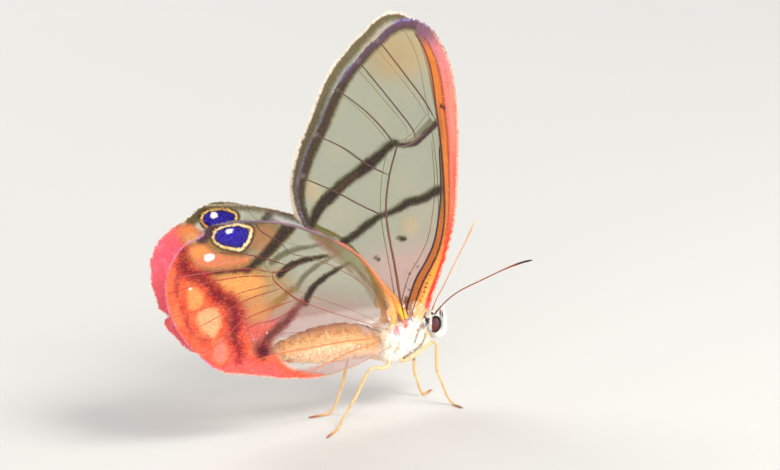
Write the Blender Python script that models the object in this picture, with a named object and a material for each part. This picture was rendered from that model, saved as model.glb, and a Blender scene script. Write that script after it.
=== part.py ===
"""Blushing phantom butterfly at rest with its wings closed over its back, life size.

+X is the way the head points, +Y the butterfly's left and +Z up, with the feet on z = 0.
Sizes below are in millimetres from the middle of the body, and placed() moves them to the origin.
"""

from dataclasses import dataclass, replace
from math import cos, pi, radians, sin

import bpy
import numpy as np
from mathutils import Vector
from mathutils.geometry import delaunay_2d_cdt

MM = 0.001
GAP = 0.42
SHIFT = (6.52, 0.15, 0.0)

# Wing plates: half their thickness, the ridge that a vein raises on each face and its half width
HALF_PLATE = 0.25
RIDGE = 0.14
RIDGE_REACH = 0.32
WING_GRID = 1.35
VEIN_STEP = 1.5

# Limbs: half their thickness at the root and at the tip
FEMUR, TIBIA, TARSUS, CLAW = 0.31, 0.26, 0.25, 0.16
SHAFT, CLUB, POINT = 0.25, 0.30, 0.14


@dataclass(frozen=True)
class Paint:
    """One plain colour for a part."""

    name: str
    colour: tuple[float, float, float]
    roughness: float = 0.6
    alpha: float = 1.0


WHITE = Paint("white_scales", (0.86, 0.83, 0.76), 0.8)
TAN = Paint("tan_scales", (0.45, 0.27, 0.15), 0.7)
SMOKE = Paint("smoky_membrane", (0.36, 0.22, 0.13), 0.35, 0.45)
ROSE = Paint("rosy_membrane", (0.62, 0.16, 0.12), 0.4, 0.75)
EYE = Paint("compound_eye", (0.05, 0.02, 0.02), 0.2)
HORN = Paint("antenna_brown", (0.36, 0.13, 0.03), 0.5)
CREAM = Paint("leg_cream", (0.78, 0.68, 0.42), 0.6)


@dataclass(frozen=True)
class Wing:
    """A wing's outline and veins in the plane of x and z, and how far it leans from the middle."""

    outline: tuple[tuple[float, float], ...]
    veins: tuple[tuple[tuple[float, float], ...], ...]
    root: tuple[float, float]
    root_reach: float
    open_reach: float
    tip_reach: float
    opens_in: float
    length: float
    bow: float
    squeeze: float
    squeeze_from: tuple[float, float]


FOREWING = Wing(
    outline=(
        (2.6, 9.8), (3.1, 11.1), (4.9, 14.9), (6.2, 18.7), (6.9, 22.7), (7.5, 28.1), (7.5, 34.1),
        (6.2, 38.0), (4.1, 39.8), (2.1, 39.8), (-2.1, 36.9), (-4.5, 34.5), (-6.8, 30.8),
        (-8.3, 28.5), (-9.5, 25.6), (-9.7, 23.2), (-9.2, 21.1), (-6.4, 17.7), (-3.8, 14.5),
        (-1.6, 10.9), (-0.4, 8.9), (0.5, 8.3), (1.6, 8.7),
    ),
    veins=(
        ((0.9, 9.4), (2.4, 12.6), (4.5, 17.2), (5.6, 22.0)),
        ((0.8, 10.6), (2.2, 14.1), (3.9, 17.9), (4.9, 22.6), (5.3, 29.2), (5.0, 35.6), (4.1, 38.6)),
        ((0.1, 9.6), (-0.3, 14.5), (-0.9, 20.3), (-0.2, 24.1), (1.0, 27.3)),
        ((-0.9, 20.3), (-4.6, 23.2), (-8.9, 26.2)),
        ((-0.1, 24.6), (-4.4, 28.4), (-7.0, 30.2)),
        ((1.0, 27.3), (-0.2, 29.6), (-4.3, 34.2)),
        ((3.1, 27.6), (1.4, 31.3), (-1.8, 36.6)),
        ((5.1, 29.1), (3.0, 34.0), (0.4, 38.3)),
        ((1.0, 27.3), (3.1, 27.6), (5.2, 29.1)),
        ((-0.4, 9.9), (-1.9, 12.6), (-4.1, 16.6), (-8.6, 21.1)),
    ),
    root=(0.6, 8.9),
    root_reach=0.75,
    open_reach=0.85,
    tip_reach=1.85,
    opens_in=3.0,
    length=31.0,
    bow=0.25,
    squeeze=0.75,
    squeeze_from=(9.0, 12.0),
)

HINDWING = Wing(
    outline=(
        (-1.0, 10.5), (-2.1, 13.5), (-4.3, 17.2), (-7.3, 19.8), (-11.2, 21.9), (-15.0, 23.0),
        (-18.9, 23.3), (-20.3, 22.4), (-22.4, 21.5), (-24.1, 19.2), (-24.5, 16.6), (-23.75, 13.4),
        (-22.0, 10.6), (-19.8, 8.3), (-16.2, 7.2), (-13.0, 6.2), (-9.8, 5.7), (-6.5, 6.0),
        (-3.2, 6.8), (-1.9, 7.4), (-1.3, 8.6),
    ),
    veins=(
        ((-1.4, 9.6), (-3.2, 13.8), (-5.6, 16.8), (-10.3, 20.0), (-15.3, 22.4)),
        ((-1.5, 9.5), (-4.0, 13.3), (-8.0, 16.9), (-11.4, 19.0), (-14.3, 22.4)),
        ((-10.3, 18.3), (-12.4, 18.1), (-13.4, 16.6), (-12.0, 14.6), (-10.4, 13.5)),
        ((-12.4, 18.1), (-17.0, 18.8), (-24.0, 19.0)),
        ((-13.4, 16.6), (-18.0, 16.6), (-24.6, 16.4)),
        ((-12.6, 15.2), (-17.0, 15.0), (-24.1, 13.5)),
        ((-11.4, 14.0), (-16.5, 13.0), (-22.4, 10.7)),
        ((-1.8, 8.9), (-5.0, 10.6), (-8.0, 12.3), (-10.8, 13.7)),
        ((-11.0, 13.4), (-15.4, 11.8), (-19.9, 8.4)),
        ((-2.3, 8.3), (-6.7, 8.9), (-12.0, 9.0), (-16.6, 7.4)),
    ),
    root=(-1.6, 8.6),
    root_reach=1.45,
    open_reach=2.12,
    tip_reach=2.85,
    opens_in=3.2,
    length=26.0,
    bow=0.15,
    squeeze=0.9,
    squeeze_from=(10.5, 15.0),
)

# The left hindwing's rim stands out further and has a nick low on its outer side
HINDWING_LEFT = replace(HINDWING, outline=(
    (-1.0, 10.5), (-2.1, 13.5), (-4.3, 17.2), (-7.3, 19.8), (-11.2, 21.8), (-16.2, 23.3),
    (-18.6, 23.35), (-20.1, 22.4), (-21.7, 21.6), (-23.5, 20.3), (-24.6, 18.4), (-24.65, 15.9),
    (-24.25, 13.9), (-23.45, 12.6), (-23.65, 11.8), (-21.7, 9.0), (-19.8, 8.0), (-16.2, 7.1),
    (-13.0, 6.2), (-9.8, 5.7), (-6.5, 6.0), (-3.2, 6.8), (-1.9, 7.4), (-1.3, 8.6),
))


def placed(points):
    """Millimetres from the middle of the body, as metres from the model's origin."""
    return (np.asarray(points, float) + SHIFT) * MM


def clear_scene():
    for obj in list(bpy.data.objects):
        bpy.data.objects.remove(obj, do_unlink=True)


def material(paint):
    """The Principled BSDF material for one paint, made once."""
    found = bpy.data.materials.get(paint.name)
    if found:
        return found
    made = bpy.data.materials.new(paint.name)
    made.use_nodes = True
    shader = made.node_tree.nodes["Principled BSDF"]
    shader.inputs["Base Color"].default_value = (*paint.colour, 1.0)
    shader.inputs["Roughness"].default_value = paint.roughness
    shader.inputs["Metallic"].default_value = 0.0
    shader.inputs["Alpha"].default_value = paint.alpha
    made.diffuse_color = (*paint.colour, paint.alpha)
    return made


def solid(name, points, faces, paint):
    """An object of this name from points in millimetres."""
    mesh = bpy.data.meshes.new(name)
    mesh.from_pydata([tuple(p) for p in placed(points)], [], faces)
    mesh.validate()
    mesh.shade_smooth()
    obj = bpy.data.objects.new(name, mesh)
    obj.data.materials.append(material(paint))
    bpy.context.scene.collection.objects.link(obj)
    return obj


def cutter(name, points, faces):
    """A hidden solid that only cuts others."""
    obj = solid(name, points, faces, WHITE)
    obj.hide_render = True
    obj.display_type = "WIRE"
    return obj


def cut(obj, *tools):
    """Takes each cutter's shape out of the object."""
    for tool in tools:
        step = obj.modifiers.new(f"clear_{tool.name}", "BOOLEAN")
        step.operation = "DIFFERENCE"
        step.solver = "EXACT"
        step.object = tool


def curve_through(points, count, closed=False, even=True):
    """A Catmull-Rom curve through the points, resampled evenly or towards both ends."""
    knots = np.asarray(points, float)
    if closed:
        knots = np.vstack([knots[-1], knots, knots[:2]])
    else:
        knots = np.vstack([2 * knots[0] - knots[1], knots, 2 * knots[-1] - knots[-2]])
    t = np.linspace(0, 1, 24, endpoint=False)[:, None]
    runs = []
    for a, b, c, d in zip(knots, knots[1:], knots[2:], knots[3:]):
        slope_b, slope_c = (c - a) / 2, (d - b) / 2
        runs.append(
            (2 * t**3 - 3 * t**2 + 1) * b + (t**3 - 2 * t**2 + t) * slope_b
            + (3 * t**2 - 2 * t**3) * c + (t**3 - t**2) * slope_c
        )
    dense = np.vstack([*runs, knots[-2][None]])
    along = np.r_[0, np.cumsum(np.linalg.norm(np.diff(dense[:, :3], axis=0), axis=1))]
    places = np.linspace(0, 1, count + closed)
    if not even:
        places = (1 - np.cos(places * pi)) / 2
    places = places[:count] * along[-1]
    return np.stack([np.interp(places, along, dense[:, i]) for i in range(dense.shape[1])], 1)


def sweep(stations, sides, floor=None, grow=0.0):
    """Points and faces of a closed tube. A station is x, y, z, half width and half height."""
    path, widths, heights = stations[:, :3], stations[:, 3] + grow, stations[:, 4] + grow
    along = np.gradient(path, axis=0)
    along /= np.linalg.norm(along, axis=1)[:, None]
    across = np.array([0.0, 1.0, 0.0])
    across -= along[0] * (across @ along[0])
    if np.linalg.norm(across) < 0.2:
        across = np.cross(along[0], (0.0, 0.0, 1.0))
    points, faces = [], []
    for centre, way, width, height in zip(path, along, widths, heights):
        across = across - way * (across @ way)
        across /= np.linalg.norm(across)
        up = np.cross(way, across)
        for k in range(sides):
            turn = 2 * pi * (k + 0.5) / sides
            points.append(centre + across * width * cos(turn) + up * height * sin(turn))
    first = len(points)
    points.append(path[0] - along[0] * (0.5 * heights[0] + 1.1 * grow))
    points.append(path[-1] + along[-1] * (0.5 * heights[-1] + 1.1 * grow))
    for ring in range(len(path) - 1):
        for k in range(sides):
            a, b = ring * sides + k, ring * sides + (k + 1) % sides
            faces.append((a, b, b + sides, a + sides))
    last = (len(path) - 1) * sides
    for k in range(sides):
        faces.append((first, (k + 1) % sides, k))
        faces.append((first + 1, last + k, last + (k + 1) % sides))
    points = np.array(points)
    if floor is not None:
        points[:, 2] = np.maximum(points[:, 2], floor)
    return points, faces


def body_part(rows, rings, sides, grow=0.0, ripple=0, depth=0.0):
    """A rounded body length from stations of x, z, half width and half height on the middle plane."""
    stations = curve_through([(x, 0.0, z, w, h) for x, z, w, h in rows], rings, even=False)
    stations[:, 3:] = np.maximum(stations[:, 3:], 0.12)
    if ripple:
        along = np.linspace(0, 1, rings)
        stations[:, 3:] *= (1 - depth * np.abs(np.cos(along * pi * ripple)) ** 6)[:, None]
    return sweep(stations, sides, grow=grow)


def limb(path, radii, rings, sides=8, floor=None, grow=0.0):
    """A bent tapered limb through the points, with a radius at each."""
    rows = [(*p, r, r) for p, r in zip(path, radii)]
    return sweep(curve_through(rows, rings), sides, floor, grow)


def nearest(points, line):
    """Distance from each point to a polyline."""
    a, b = line[:-1], line[1:]
    run = b - a
    t = np.einsum("psk,sk->ps", points[:, None] - a, run) / (run**2).sum(1)
    foot = a + np.clip(t, 0, 1)[..., None] * run
    return np.linalg.norm(points[:, None] - foot, axis=2).min(1)


def inside(points, loop):
    """Which points lie within a closed loop."""
    found = np.zeros(len(points), bool)
    for a, b in zip(loop, np.roll(loop, -1, axis=0)):
        crosses = (a[1] > points[:, 1]) != (b[1] > points[:, 1])
        rise = np.where(b[1] == a[1], 1e-12, b[1] - a[1])
        found ^= crosses & (points[:, 0] < (b[0] - a[0]) * (points[:, 1] - a[1]) / rise + a[0])
    return found


def squeezed(wing, flat):
    """How much nearer to the middle plane the wing comes halfway along, above the body."""
    far = np.clip(np.linalg.norm(flat - wing.root, axis=1) / wing.length, 0, 1)
    low, high = wing.squeeze_from
    above = np.clip((flat[:, 1] - low) / (high - low), 0, 1)
    return wing.squeeze * np.sin(far * pi) ** 2 * above * above * (3 - 2 * above)


def moved(wing, points):
    """Traced points, moved so that the squeeze leaves them where the photograph shows them."""
    flat = np.asarray(points, float)
    return flat + squeezed(wing, flat)[:, None] * (0.287, -0.299)


def lean(wing, flat):
    """How far from the middle plane the wing's mid surface lies at each point of its plane."""
    out = np.linalg.norm(flat - wing.root, axis=1)
    near = np.clip(out / wing.opens_in, 0, 1)
    near = near * near * (3 - 2 * near)
    far = np.clip(out / wing.length, 0, 1)
    open_part = wing.open_reach + (wing.tip_reach - wing.open_reach) * far
    wide = wing.root_reach + (open_part - wing.root_reach) * near
    return wide + wing.bow * np.sin(far * pi) * near - squeezed(wing, flat)


def wing_plate(wing, side, turn):
    """Points and faces of a wing: one split into triangles serves both of its faces."""
    outline = moved(wing, wing.outline)
    length = np.linalg.norm(np.diff(np.vstack([outline, outline[:1]]), axis=0), axis=1).sum()
    rim = curve_through(outline, int(length / WING_GRID), closed=True)
    veins = [
        curve_through(moved(wing, v), max(3, int(np.linalg.norm(np.subtract(v[0], v[-1])) / VEIN_STEP)))
        for v in wing.veins
    ]
    points, edges = [tuple(p) for p in rim], []
    for vein in veins:
        way = np.gradient(vein, axis=0)
        way /= np.linalg.norm(way, axis=1)[:, None]
        off = np.stack([-way[:, 1], way[:, 0]], 1) * RIDGE_REACH
        for line in (vein, vein + off, vein - off):
            kept = line[inside(line, rim) & (nearest(line, np.vstack([rim, rim[:1]])) > 0.3)]
            start = len(points)
            points += [tuple(p) for p in kept]
            edges += [(start + i, start + i + 1) for i in range(len(kept) - 1)
                      if np.linalg.norm(kept[i + 1] - kept[i]) < 2.5 * VEIN_STEP]
    low, high = rim.min(0), rim.max(0)
    rows = np.arange(low[1], high[1], WING_GRID * 0.87)
    grid = np.array([
        (x + (i % 2) * WING_GRID / 2, z)
        for i, z in enumerate(rows) for x in np.arange(low[0], high[0], WING_GRID)
    ])
    clear = inside(grid, rim) & (nearest(grid, np.vstack([rim, rim[:1]])) > 0.6 * WING_GRID)
    for vein in veins:
        clear &= nearest(grid, vein) > RIDGE_REACH + 0.45 * WING_GRID
    points += [tuple(p) for p in grid[clear]]
    found, _, triangles, *_ = delaunay_2d_cdt(
        [Vector(p) for p in points], edges, [list(range(len(rim)))], 1, 1e-4
    )
    flat = np.array([tuple(p) for p in found])
    triangles = [tuple(t) for t in triangles]
    ridge = np.zeros(len(flat))
    for vein in veins:
        ridge = np.maximum(ridge, np.clip(1 - nearest(flat, vein) / RIDGE_REACH, 0, 1))
    middle, half = lean(wing, flat), HALF_PLATE + RIDGE * ridge
    turned = flat - wing.root
    c, s = cos(radians(turn)), sin(radians(turn))
    turned = np.stack([turned[:, 0] * c - turned[:, 1] * s, turned[:, 0] * s + turned[:, 1] * c], 1)
    turned += wing.root
    layers = [
        np.stack([turned[:, 0], side * (middle + way * half), turned[:, 1]], 1) for way in (1, -1)
    ]
    count = len(flat)
    faces, used = [], {}
    for a, b, c in triangles:
        (ax, az), (bx, bz), (cx, cz) = flat[a], flat[b], flat[c]
        if (bx - ax) * (cz - az) - (bz - az) * (cx - ax) < 0:
            b, c = c, b
        for edge in ((a, b), (b, c), (c, a)):
            used[edge] = True
        outer, inner = (a, b, c), (a + count, c + count, b + count)
        faces += [outer, inner] if side < 0 else [outer[::-1], inner[::-1]]
    for a, b in used:
        if (b, a) in used:
            continue
        wall = [(b, a, a + count), (b, a + count, b + count)]
        faces += wall if side < 0 else [w[::-1] for w in wall]
    return np.vstack(layers), faces


# Body lengths on the middle plane: x, z, half width and half height
THORAX = (
    (-2.75, 5.85, 0.35, 0.45), (-2.2, 6.1, 1.25, 1.5), (-1.0, 6.68, 1.75, 2.07),
    (0.3, 7.35, 1.75, 2.0), (1.4, 7.97, 1.25, 1.48), (2.1, 8.35, 0.75, 0.95), (2.45, 8.5, 0.3, 0.4),
)
ABDOMEN = (
    (-2.2, 6.85, 0.75, 1.1), (-3.4, 7.25, 1.1, 1.55), (-5.2, 7.8, 1.25, 1.88), (-7.4, 8.08, 1.25, 2.02),
    (-9.8, 8.2, 1.2, 1.8), (-11.9, 8.32, 0.95, 1.28), (-13.2, 8.5, 0.6, 0.75),
    (-13.8, 8.6, 0.25, 0.3),
)
HEAD = (
    (3.25, 6.55, 0.3, 0.3), (3.2, 6.85, 0.75, 0.62), (3.15, 7.5, 1.08, 0.88),
    (3.1, 8.2, 1.1, 0.92), (3.1, 8.85, 0.85, 0.75), (3.1, 9.2, 0.4, 0.4),
)
EYE_ROWS = (
    (3.2, 7.42, 0.2, 0.2), (3.22, 7.7, 0.42, 0.36), (3.22, 8.2, 0.55, 0.45), (3.2, 8.75, 0.42, 0.36),
    (3.18, 9.02, 0.2, 0.2),
)
EYE_REACH = 1.12

# Limbs through x, y, z, as on the right side where not mirrored
PALP = ((3.3, 0.42, 6.9), (3.9, 0.42, 6.75), (4.35, 0.42, 7.25), (4.5, 0.4, 8.0), (4.5, 0.36, 8.9),
        (4.42, 0.3, 9.65))
PALP_RADII = (0.25, 0.3, 0.32, 0.27, 0.22, 0.12)
ANTENNA_RIGHT = ((3.2, -0.42, 8.9), (3.5, -0.55, 9.3), (4.5, -1.5, 10.6), (5.6, -2.7, 11.7),
                 (7.3, -4.8, 13.0), (9.3, -6.8, 14.3), (10.6, -8.1, 15.0), (11.5, -8.9, 15.3))
ANTENNA_LEFT = ((3.2, 0.42, 8.8), (3.4, 0.55, 9.2), (4.1, 1.0, 10.1), (5.2, 1.8, 11.0),
                (6.6, 3.0, 12.2), (8.0, 4.4, 13.2), (9.5, 6.0, 14.2), (10.7, 7.4, 15.0),
                (11.6, 8.6, 15.5))
FORELEG = ((1.9, 0.5, 7.7), (2.15, 1.15, 7.4), (1.95, 1.45, 6.85), (1.5, 1.4, 6.2), (1.05, 1.15, 5.65))
MIDLEG_RIGHT = ((-0.9, -0.9, 6.0), (-0.9, -1.65, 5.3), (0.1, -2.2, 5.75), (1.3, -2.4, 6.45),
                (2.2, -2.5, 6.9), (2.55, -2.5, 6.5), (2.45, -2.4, 5.2), (2.4, -2.35, 3.7),
                (2.75, -2.4, 2.4), (3.1, -2.5, 1.0), (3.5, -2.8, 0.27), (3.7, -3.5, 0.2),
                (3.9, -4.2, 0.2))
MIDLEG_LEFT = ((-0.6, 0.9, 6.0), (0.0, 1.7, 5.2), (0.9, 2.1, 5.0), (1.4, 2.2, 4.5),
               (1.4, 2.2, 3.7), (1.3, 2.1, 2.7), (1.5, 2.1, 1.7), (1.65, 2.1, 0.8),
               (1.9, 2.15, 0.27), (2.4, 2.5, 0.2), (3.0, 2.95, 0.2))
HINDLEG_RIGHT = ((-1.9, -0.7, 5.9), (-2.3, -1.3, 5.1), (-3.2, -2.2, 5.15), (-4.3, -3.0, 5.6),
                 (-5.0, -3.4, 5.5), (-5.7, -3.35, 4.5), (-6.5, -3.2, 3.2), (-7.5, -3.05, 1.8),
                 (-8.3, -2.95, 0.7), (-8.8, -3.1, 0.22), (-9.6, -4.0, 0.2), (-10.4, -4.9, 0.2))
HINDLEG_LEFT = ((-1.9, 0.7, 5.9), (-2.4, 1.3, 5.1), (-3.4, 2.2, 5.3), (-4.4, 2.9, 5.75),
                (-5.0, 3.1, 5.5), (-5.5, 2.9, 4.5), (-6.0, 2.7, 3.3), (-6.7, 2.5, 1.8),
                (-7.5, 2.25, 0.6), (-8.1, 2.1, 0.22), (-9.0, 2.1, 0.2), (-10.0, 2.2, 0.2))


def leg_radii(count):
    """Half thickness along a leg: stout femur, slim tibia and slimmer foot."""
    along = np.linspace(0, 1, count)
    return np.interp(along, (0, 0.15, 0.35, 0.7, 0.93, 1), (FEMUR, FEMUR, TIBIA, TARSUS, TARSUS, CLAW))


def mirrored(path):
    return tuple((x, -y, z) for x, y, z in path)


def build_body():
    """Thorax, abdomen, head and eyes, and the cutters that clear them."""
    thorax = solid("thorax", *body_part(THORAX, 18, 18), WHITE)
    near_thorax = cutter("near_thorax", *body_part(THORAX, 18, 18, grow=GAP))
    abdomen = solid("abdomen", *body_part(ABDOMEN, 33, 16, ripple=8, depth=0.05), TAN)
    cut(abdomen, near_thorax)
    head = solid("head", *body_part(HEAD, 14, 18), WHITE)
    near_head = cutter("near_head", *body_part(HEAD, 14, 18, grow=GAP))
    for name, side in (("right", -1), ("left", 1)):
        points, faces = body_part(EYE_ROWS, 10, 12)
        solid(f"eye_{name}", points + (0, side * EYE_REACH, 0), faces, EYE)
        points, faces = body_part(EYE_ROWS, 10, 12, grow=GAP)
        cut(head, cutter(f"near_eye_{name}", points + (0, side * EYE_REACH, 0), faces))
    cut(head, near_thorax)
    return thorax, near_thorax, near_head


def build_limbs(near_thorax, near_head):
    """Palps, feelers and the six legs, of which the front pair is small and folded."""
    for name, path in (("palp_right", mirrored(PALP)), ("palp_left", PALP)):
        cut(solid(name, *limb(path, PALP_RADII, 12), WHITE), near_head)
    for name, path in (("antenna_right", ANTENNA_RIGHT), ("antenna_left", ANTENNA_LEFT)):
        radii = [SHAFT] * (len(path) - 3) + [0.27, CLUB, POINT]
        cut(solid(name, *limb(path, radii, 22), HORN), near_head)
    legs = {
        "foreleg_right": mirrored(FORELEG), "foreleg_left": FORELEG,
        "midleg_right": MIDLEG_RIGHT, "midleg_left": MIDLEG_LEFT,
        "hindleg_right": HINDLEG_RIGHT, "hindleg_left": HINDLEG_LEFT,
    }
    for name, path in legs.items():
        if name.startswith("foreleg"):
            shape = limb(path, (0.25, 0.28, 0.3, 0.28, 0.16), 12)
        else:
            shape = limb(path, leg_radii(len(path)), 34, floor=0.0)
        cut(solid(name, *shape, CREAM), near_thorax)


def build_wings(near_thorax):
    """Four wings, the left ones turned a little as the butterfly holds them."""
    for name, side, fore_turn, hind, hind_turn in (
        ("right", -1, 0.0, HINDWING, 0.0), ("left", 1, 0.5, HINDWING_LEFT, -2.0),
    ):
        cut(solid(f"forewing_{name}", *wing_plate(FOREWING, side, fore_turn), SMOKE), near_thorax)
        cut(solid(f"hindwing_{name}", *wing_plate(hind, side, hind_turn), ROSE), near_thorax)


def main():
    clear_scene()
    _, near_thorax, near_head = build_body()
    build_limbs(near_thorax, near_head)
    build_wings(near_thorax)


main()
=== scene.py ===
"""Blushing phantom butterfly at rest with its wings closed over its back, life size.

The sizes below are millimetres measured from the middle of the body: x towards the head, y towards
the butterfly's left and z up from the ground. add_piece() moves each finished mesh to the frame.
"""

from __future__ import annotations

import logging
from dataclasses import dataclass, field, replace
from enum import Enum
from math import cos, pi, radians, sin
from typing import Sequence

import bpy
import numpy as np
from mathutils import Matrix, Vector
from mathutils.geometry import delaunay_2d_cdt

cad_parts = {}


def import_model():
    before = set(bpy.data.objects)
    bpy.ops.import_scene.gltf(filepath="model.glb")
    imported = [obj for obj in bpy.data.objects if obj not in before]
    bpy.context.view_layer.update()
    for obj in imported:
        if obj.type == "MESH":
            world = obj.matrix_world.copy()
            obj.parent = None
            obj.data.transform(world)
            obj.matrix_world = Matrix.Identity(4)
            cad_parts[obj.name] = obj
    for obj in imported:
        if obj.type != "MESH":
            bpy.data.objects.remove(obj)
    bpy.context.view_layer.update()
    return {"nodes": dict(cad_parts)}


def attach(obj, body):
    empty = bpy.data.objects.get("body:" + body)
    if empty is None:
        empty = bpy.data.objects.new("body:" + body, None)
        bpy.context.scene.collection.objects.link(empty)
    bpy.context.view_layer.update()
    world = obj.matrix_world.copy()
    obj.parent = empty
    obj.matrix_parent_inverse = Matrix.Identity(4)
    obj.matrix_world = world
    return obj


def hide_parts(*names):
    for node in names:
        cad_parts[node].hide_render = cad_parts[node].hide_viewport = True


LOG = logging.getLogger("butterfly")
Array = np.ndarray
Points = Sequence[Sequence[float]]
Socket = bpy.types.NodeSocket

MM = 0.001
SHIFT = np.array((6.52, 0.15, 0.0))
TINY = 1e-9
BLADE_PATCH = 0.003


class Side(Enum):
    """Which side of the body a piece is on, and the way it lies along y."""

    RIGHT = -1
    LEFT = 1


def tint(code: str) -> Array:
    """The linear colour of a written one.

    Args:
        code: six hexadecimal digits, as a painter's chart gives them.

    Returns:
        Red, green and blue from 0 to 1.
    """
    srgb = np.array([int(code[i : i + 2], 16) / 255 for i in (0, 2, 4)])
    return np.where(srgb <= 0.04045, srgb / 12.92, ((srgb + 0.055) / 1.055) ** 2.4)


def step(low: float, high: float, value: Array) -> Array:
    """A smooth rise from 0 at low to 1 at high, which may lie the other way round."""
    t = np.clip((value - low) / (high - low), 0, 1)
    return t * t * (3 - 2 * t)


def grain(points: Array, size: float, seed: int = 1) -> Array:
    """Smooth random values over space.

    Args:
        points: places, two or three numbers each.
        size: how far apart the values change.
        seed: which pattern.

    Returns:
        A value from -1 to 1 at each place.
    """
    table = np.random.default_rng(seed).uniform(-1, 1, (64, 64, 64))
    spot = np.zeros((len(points), 3))
    spot[:, : points.shape[1]] = points / size + 17.3
    cell = np.floor(spot).astype(int)
    part = spot - cell
    part = part * part * (3 - 2 * part)
    value = np.zeros(len(points))
    for corner in np.ndindex(2, 2, 2):
        near = np.where(corner, part, 1 - part).prod(1)
        value += near * table[tuple(((cell + corner) % 64).T)]
    return value


def smooth_line(points: Points, count: int, closed: bool = False) -> Array:
    """A smooth curve through the points, resampled evenly.

    Args:
        points: the points, with any number of values each, of which the first three give length.
        count: how many points to return.
        closed: whether it comes back to its start.

    Returns:
        The resampled points.
    """
    knots = np.asarray(points, float)
    if closed:
        knots = np.vstack([knots[-1], knots, knots[:2]])
    else:
        knots = np.vstack([2 * knots[0] - knots[1], knots, 2 * knots[-1] - knots[-2]])
    t = np.linspace(0, 1, 24, endpoint=False)[:, None]
    runs = []
    for a, b, c, d in zip(knots, knots[1:], knots[2:], knots[3:]):
        runs.append(
            (2 * t**3 - 3 * t**2 + 1) * b
            + (t**3 - 2 * t**2 + t) * (c - a) / 2
            + (3 * t**2 - 2 * t**3) * c
            + (t**3 - t**2) * (d - b) / 2
        )
    dense = np.vstack([*runs, knots[-2][None]])
    along = np.r_[0, np.cumsum(np.linalg.norm(np.diff(dense[:, :3], axis=0), axis=1))]
    places = np.linspace(0, along[-1], count + closed)[:count]
    return np.stack([np.interp(places, along, dense[:, i]) for i in range(dense.shape[1])], 1)


def unit(rows: Array, spare: float = 0.0) -> Array:
    """Each row brought to length 1, with spare added where one may be 0."""
    return rows / (np.linalg.norm(rows, axis=1)[:, None] + spare)


def length_of(points: Points, closed: bool = False) -> float:
    """The length of a line through the points."""
    line = np.array([*points, *points[:closed]], float)
    return float(np.linalg.norm(np.diff(line, axis=0), axis=1).sum())


def nearest(points: Array, line: Array) -> tuple[Array, Array]:
    """Distance from points to a line, and how far along it the nearest place lies.

    Args:
        points: the points, two numbers each.
        line: the line's points.

    Returns:
        The distances, and the places along the line from 0 to 1.
    """
    best = np.full(len(points), np.inf)
    place = np.zeros(len(points))
    for i, (a, b) in enumerate(zip(line[:-1], line[1:])):
        run = b - a
        t = np.clip((points - a) @ run / max(run @ run, TINY), 0, 1)
        far = np.linalg.norm(points - a - t[:, None] * run, axis=1)
        closer = far < best
        best[closer] = far[closer]
        place[closer] = (i + t[closer]) / (len(line) - 1)
    return best, place


def inside(points: Array, loop: Array) -> Array:
    """Which points lie within a closed loop.

    Args:
        points: the places.
        loop: the loop's points.

    Returns:
        True within the loop.
    """
    found = np.zeros(len(points), bool)
    for a, b in zip(loop, np.roll(loop, -1, axis=0)):
        crosses = (a[1] > points[:, 1]) != (b[1] > points[:, 1])
        rise = b[1] - a[1] or TINY
        found ^= crosses & (points[:, 0] < (b[0] - a[0]) * (points[:, 1] - a[1]) / rise + a[0])
    return found


def depth_in(points: Array, loop: Array) -> Array:
    """How deep each point lies within a closed loop, less than 0 outside."""
    far, _ = nearest(points, np.vstack([loop, loop[:1]]))
    return np.where(inside(points, loop), far, -far)


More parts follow.
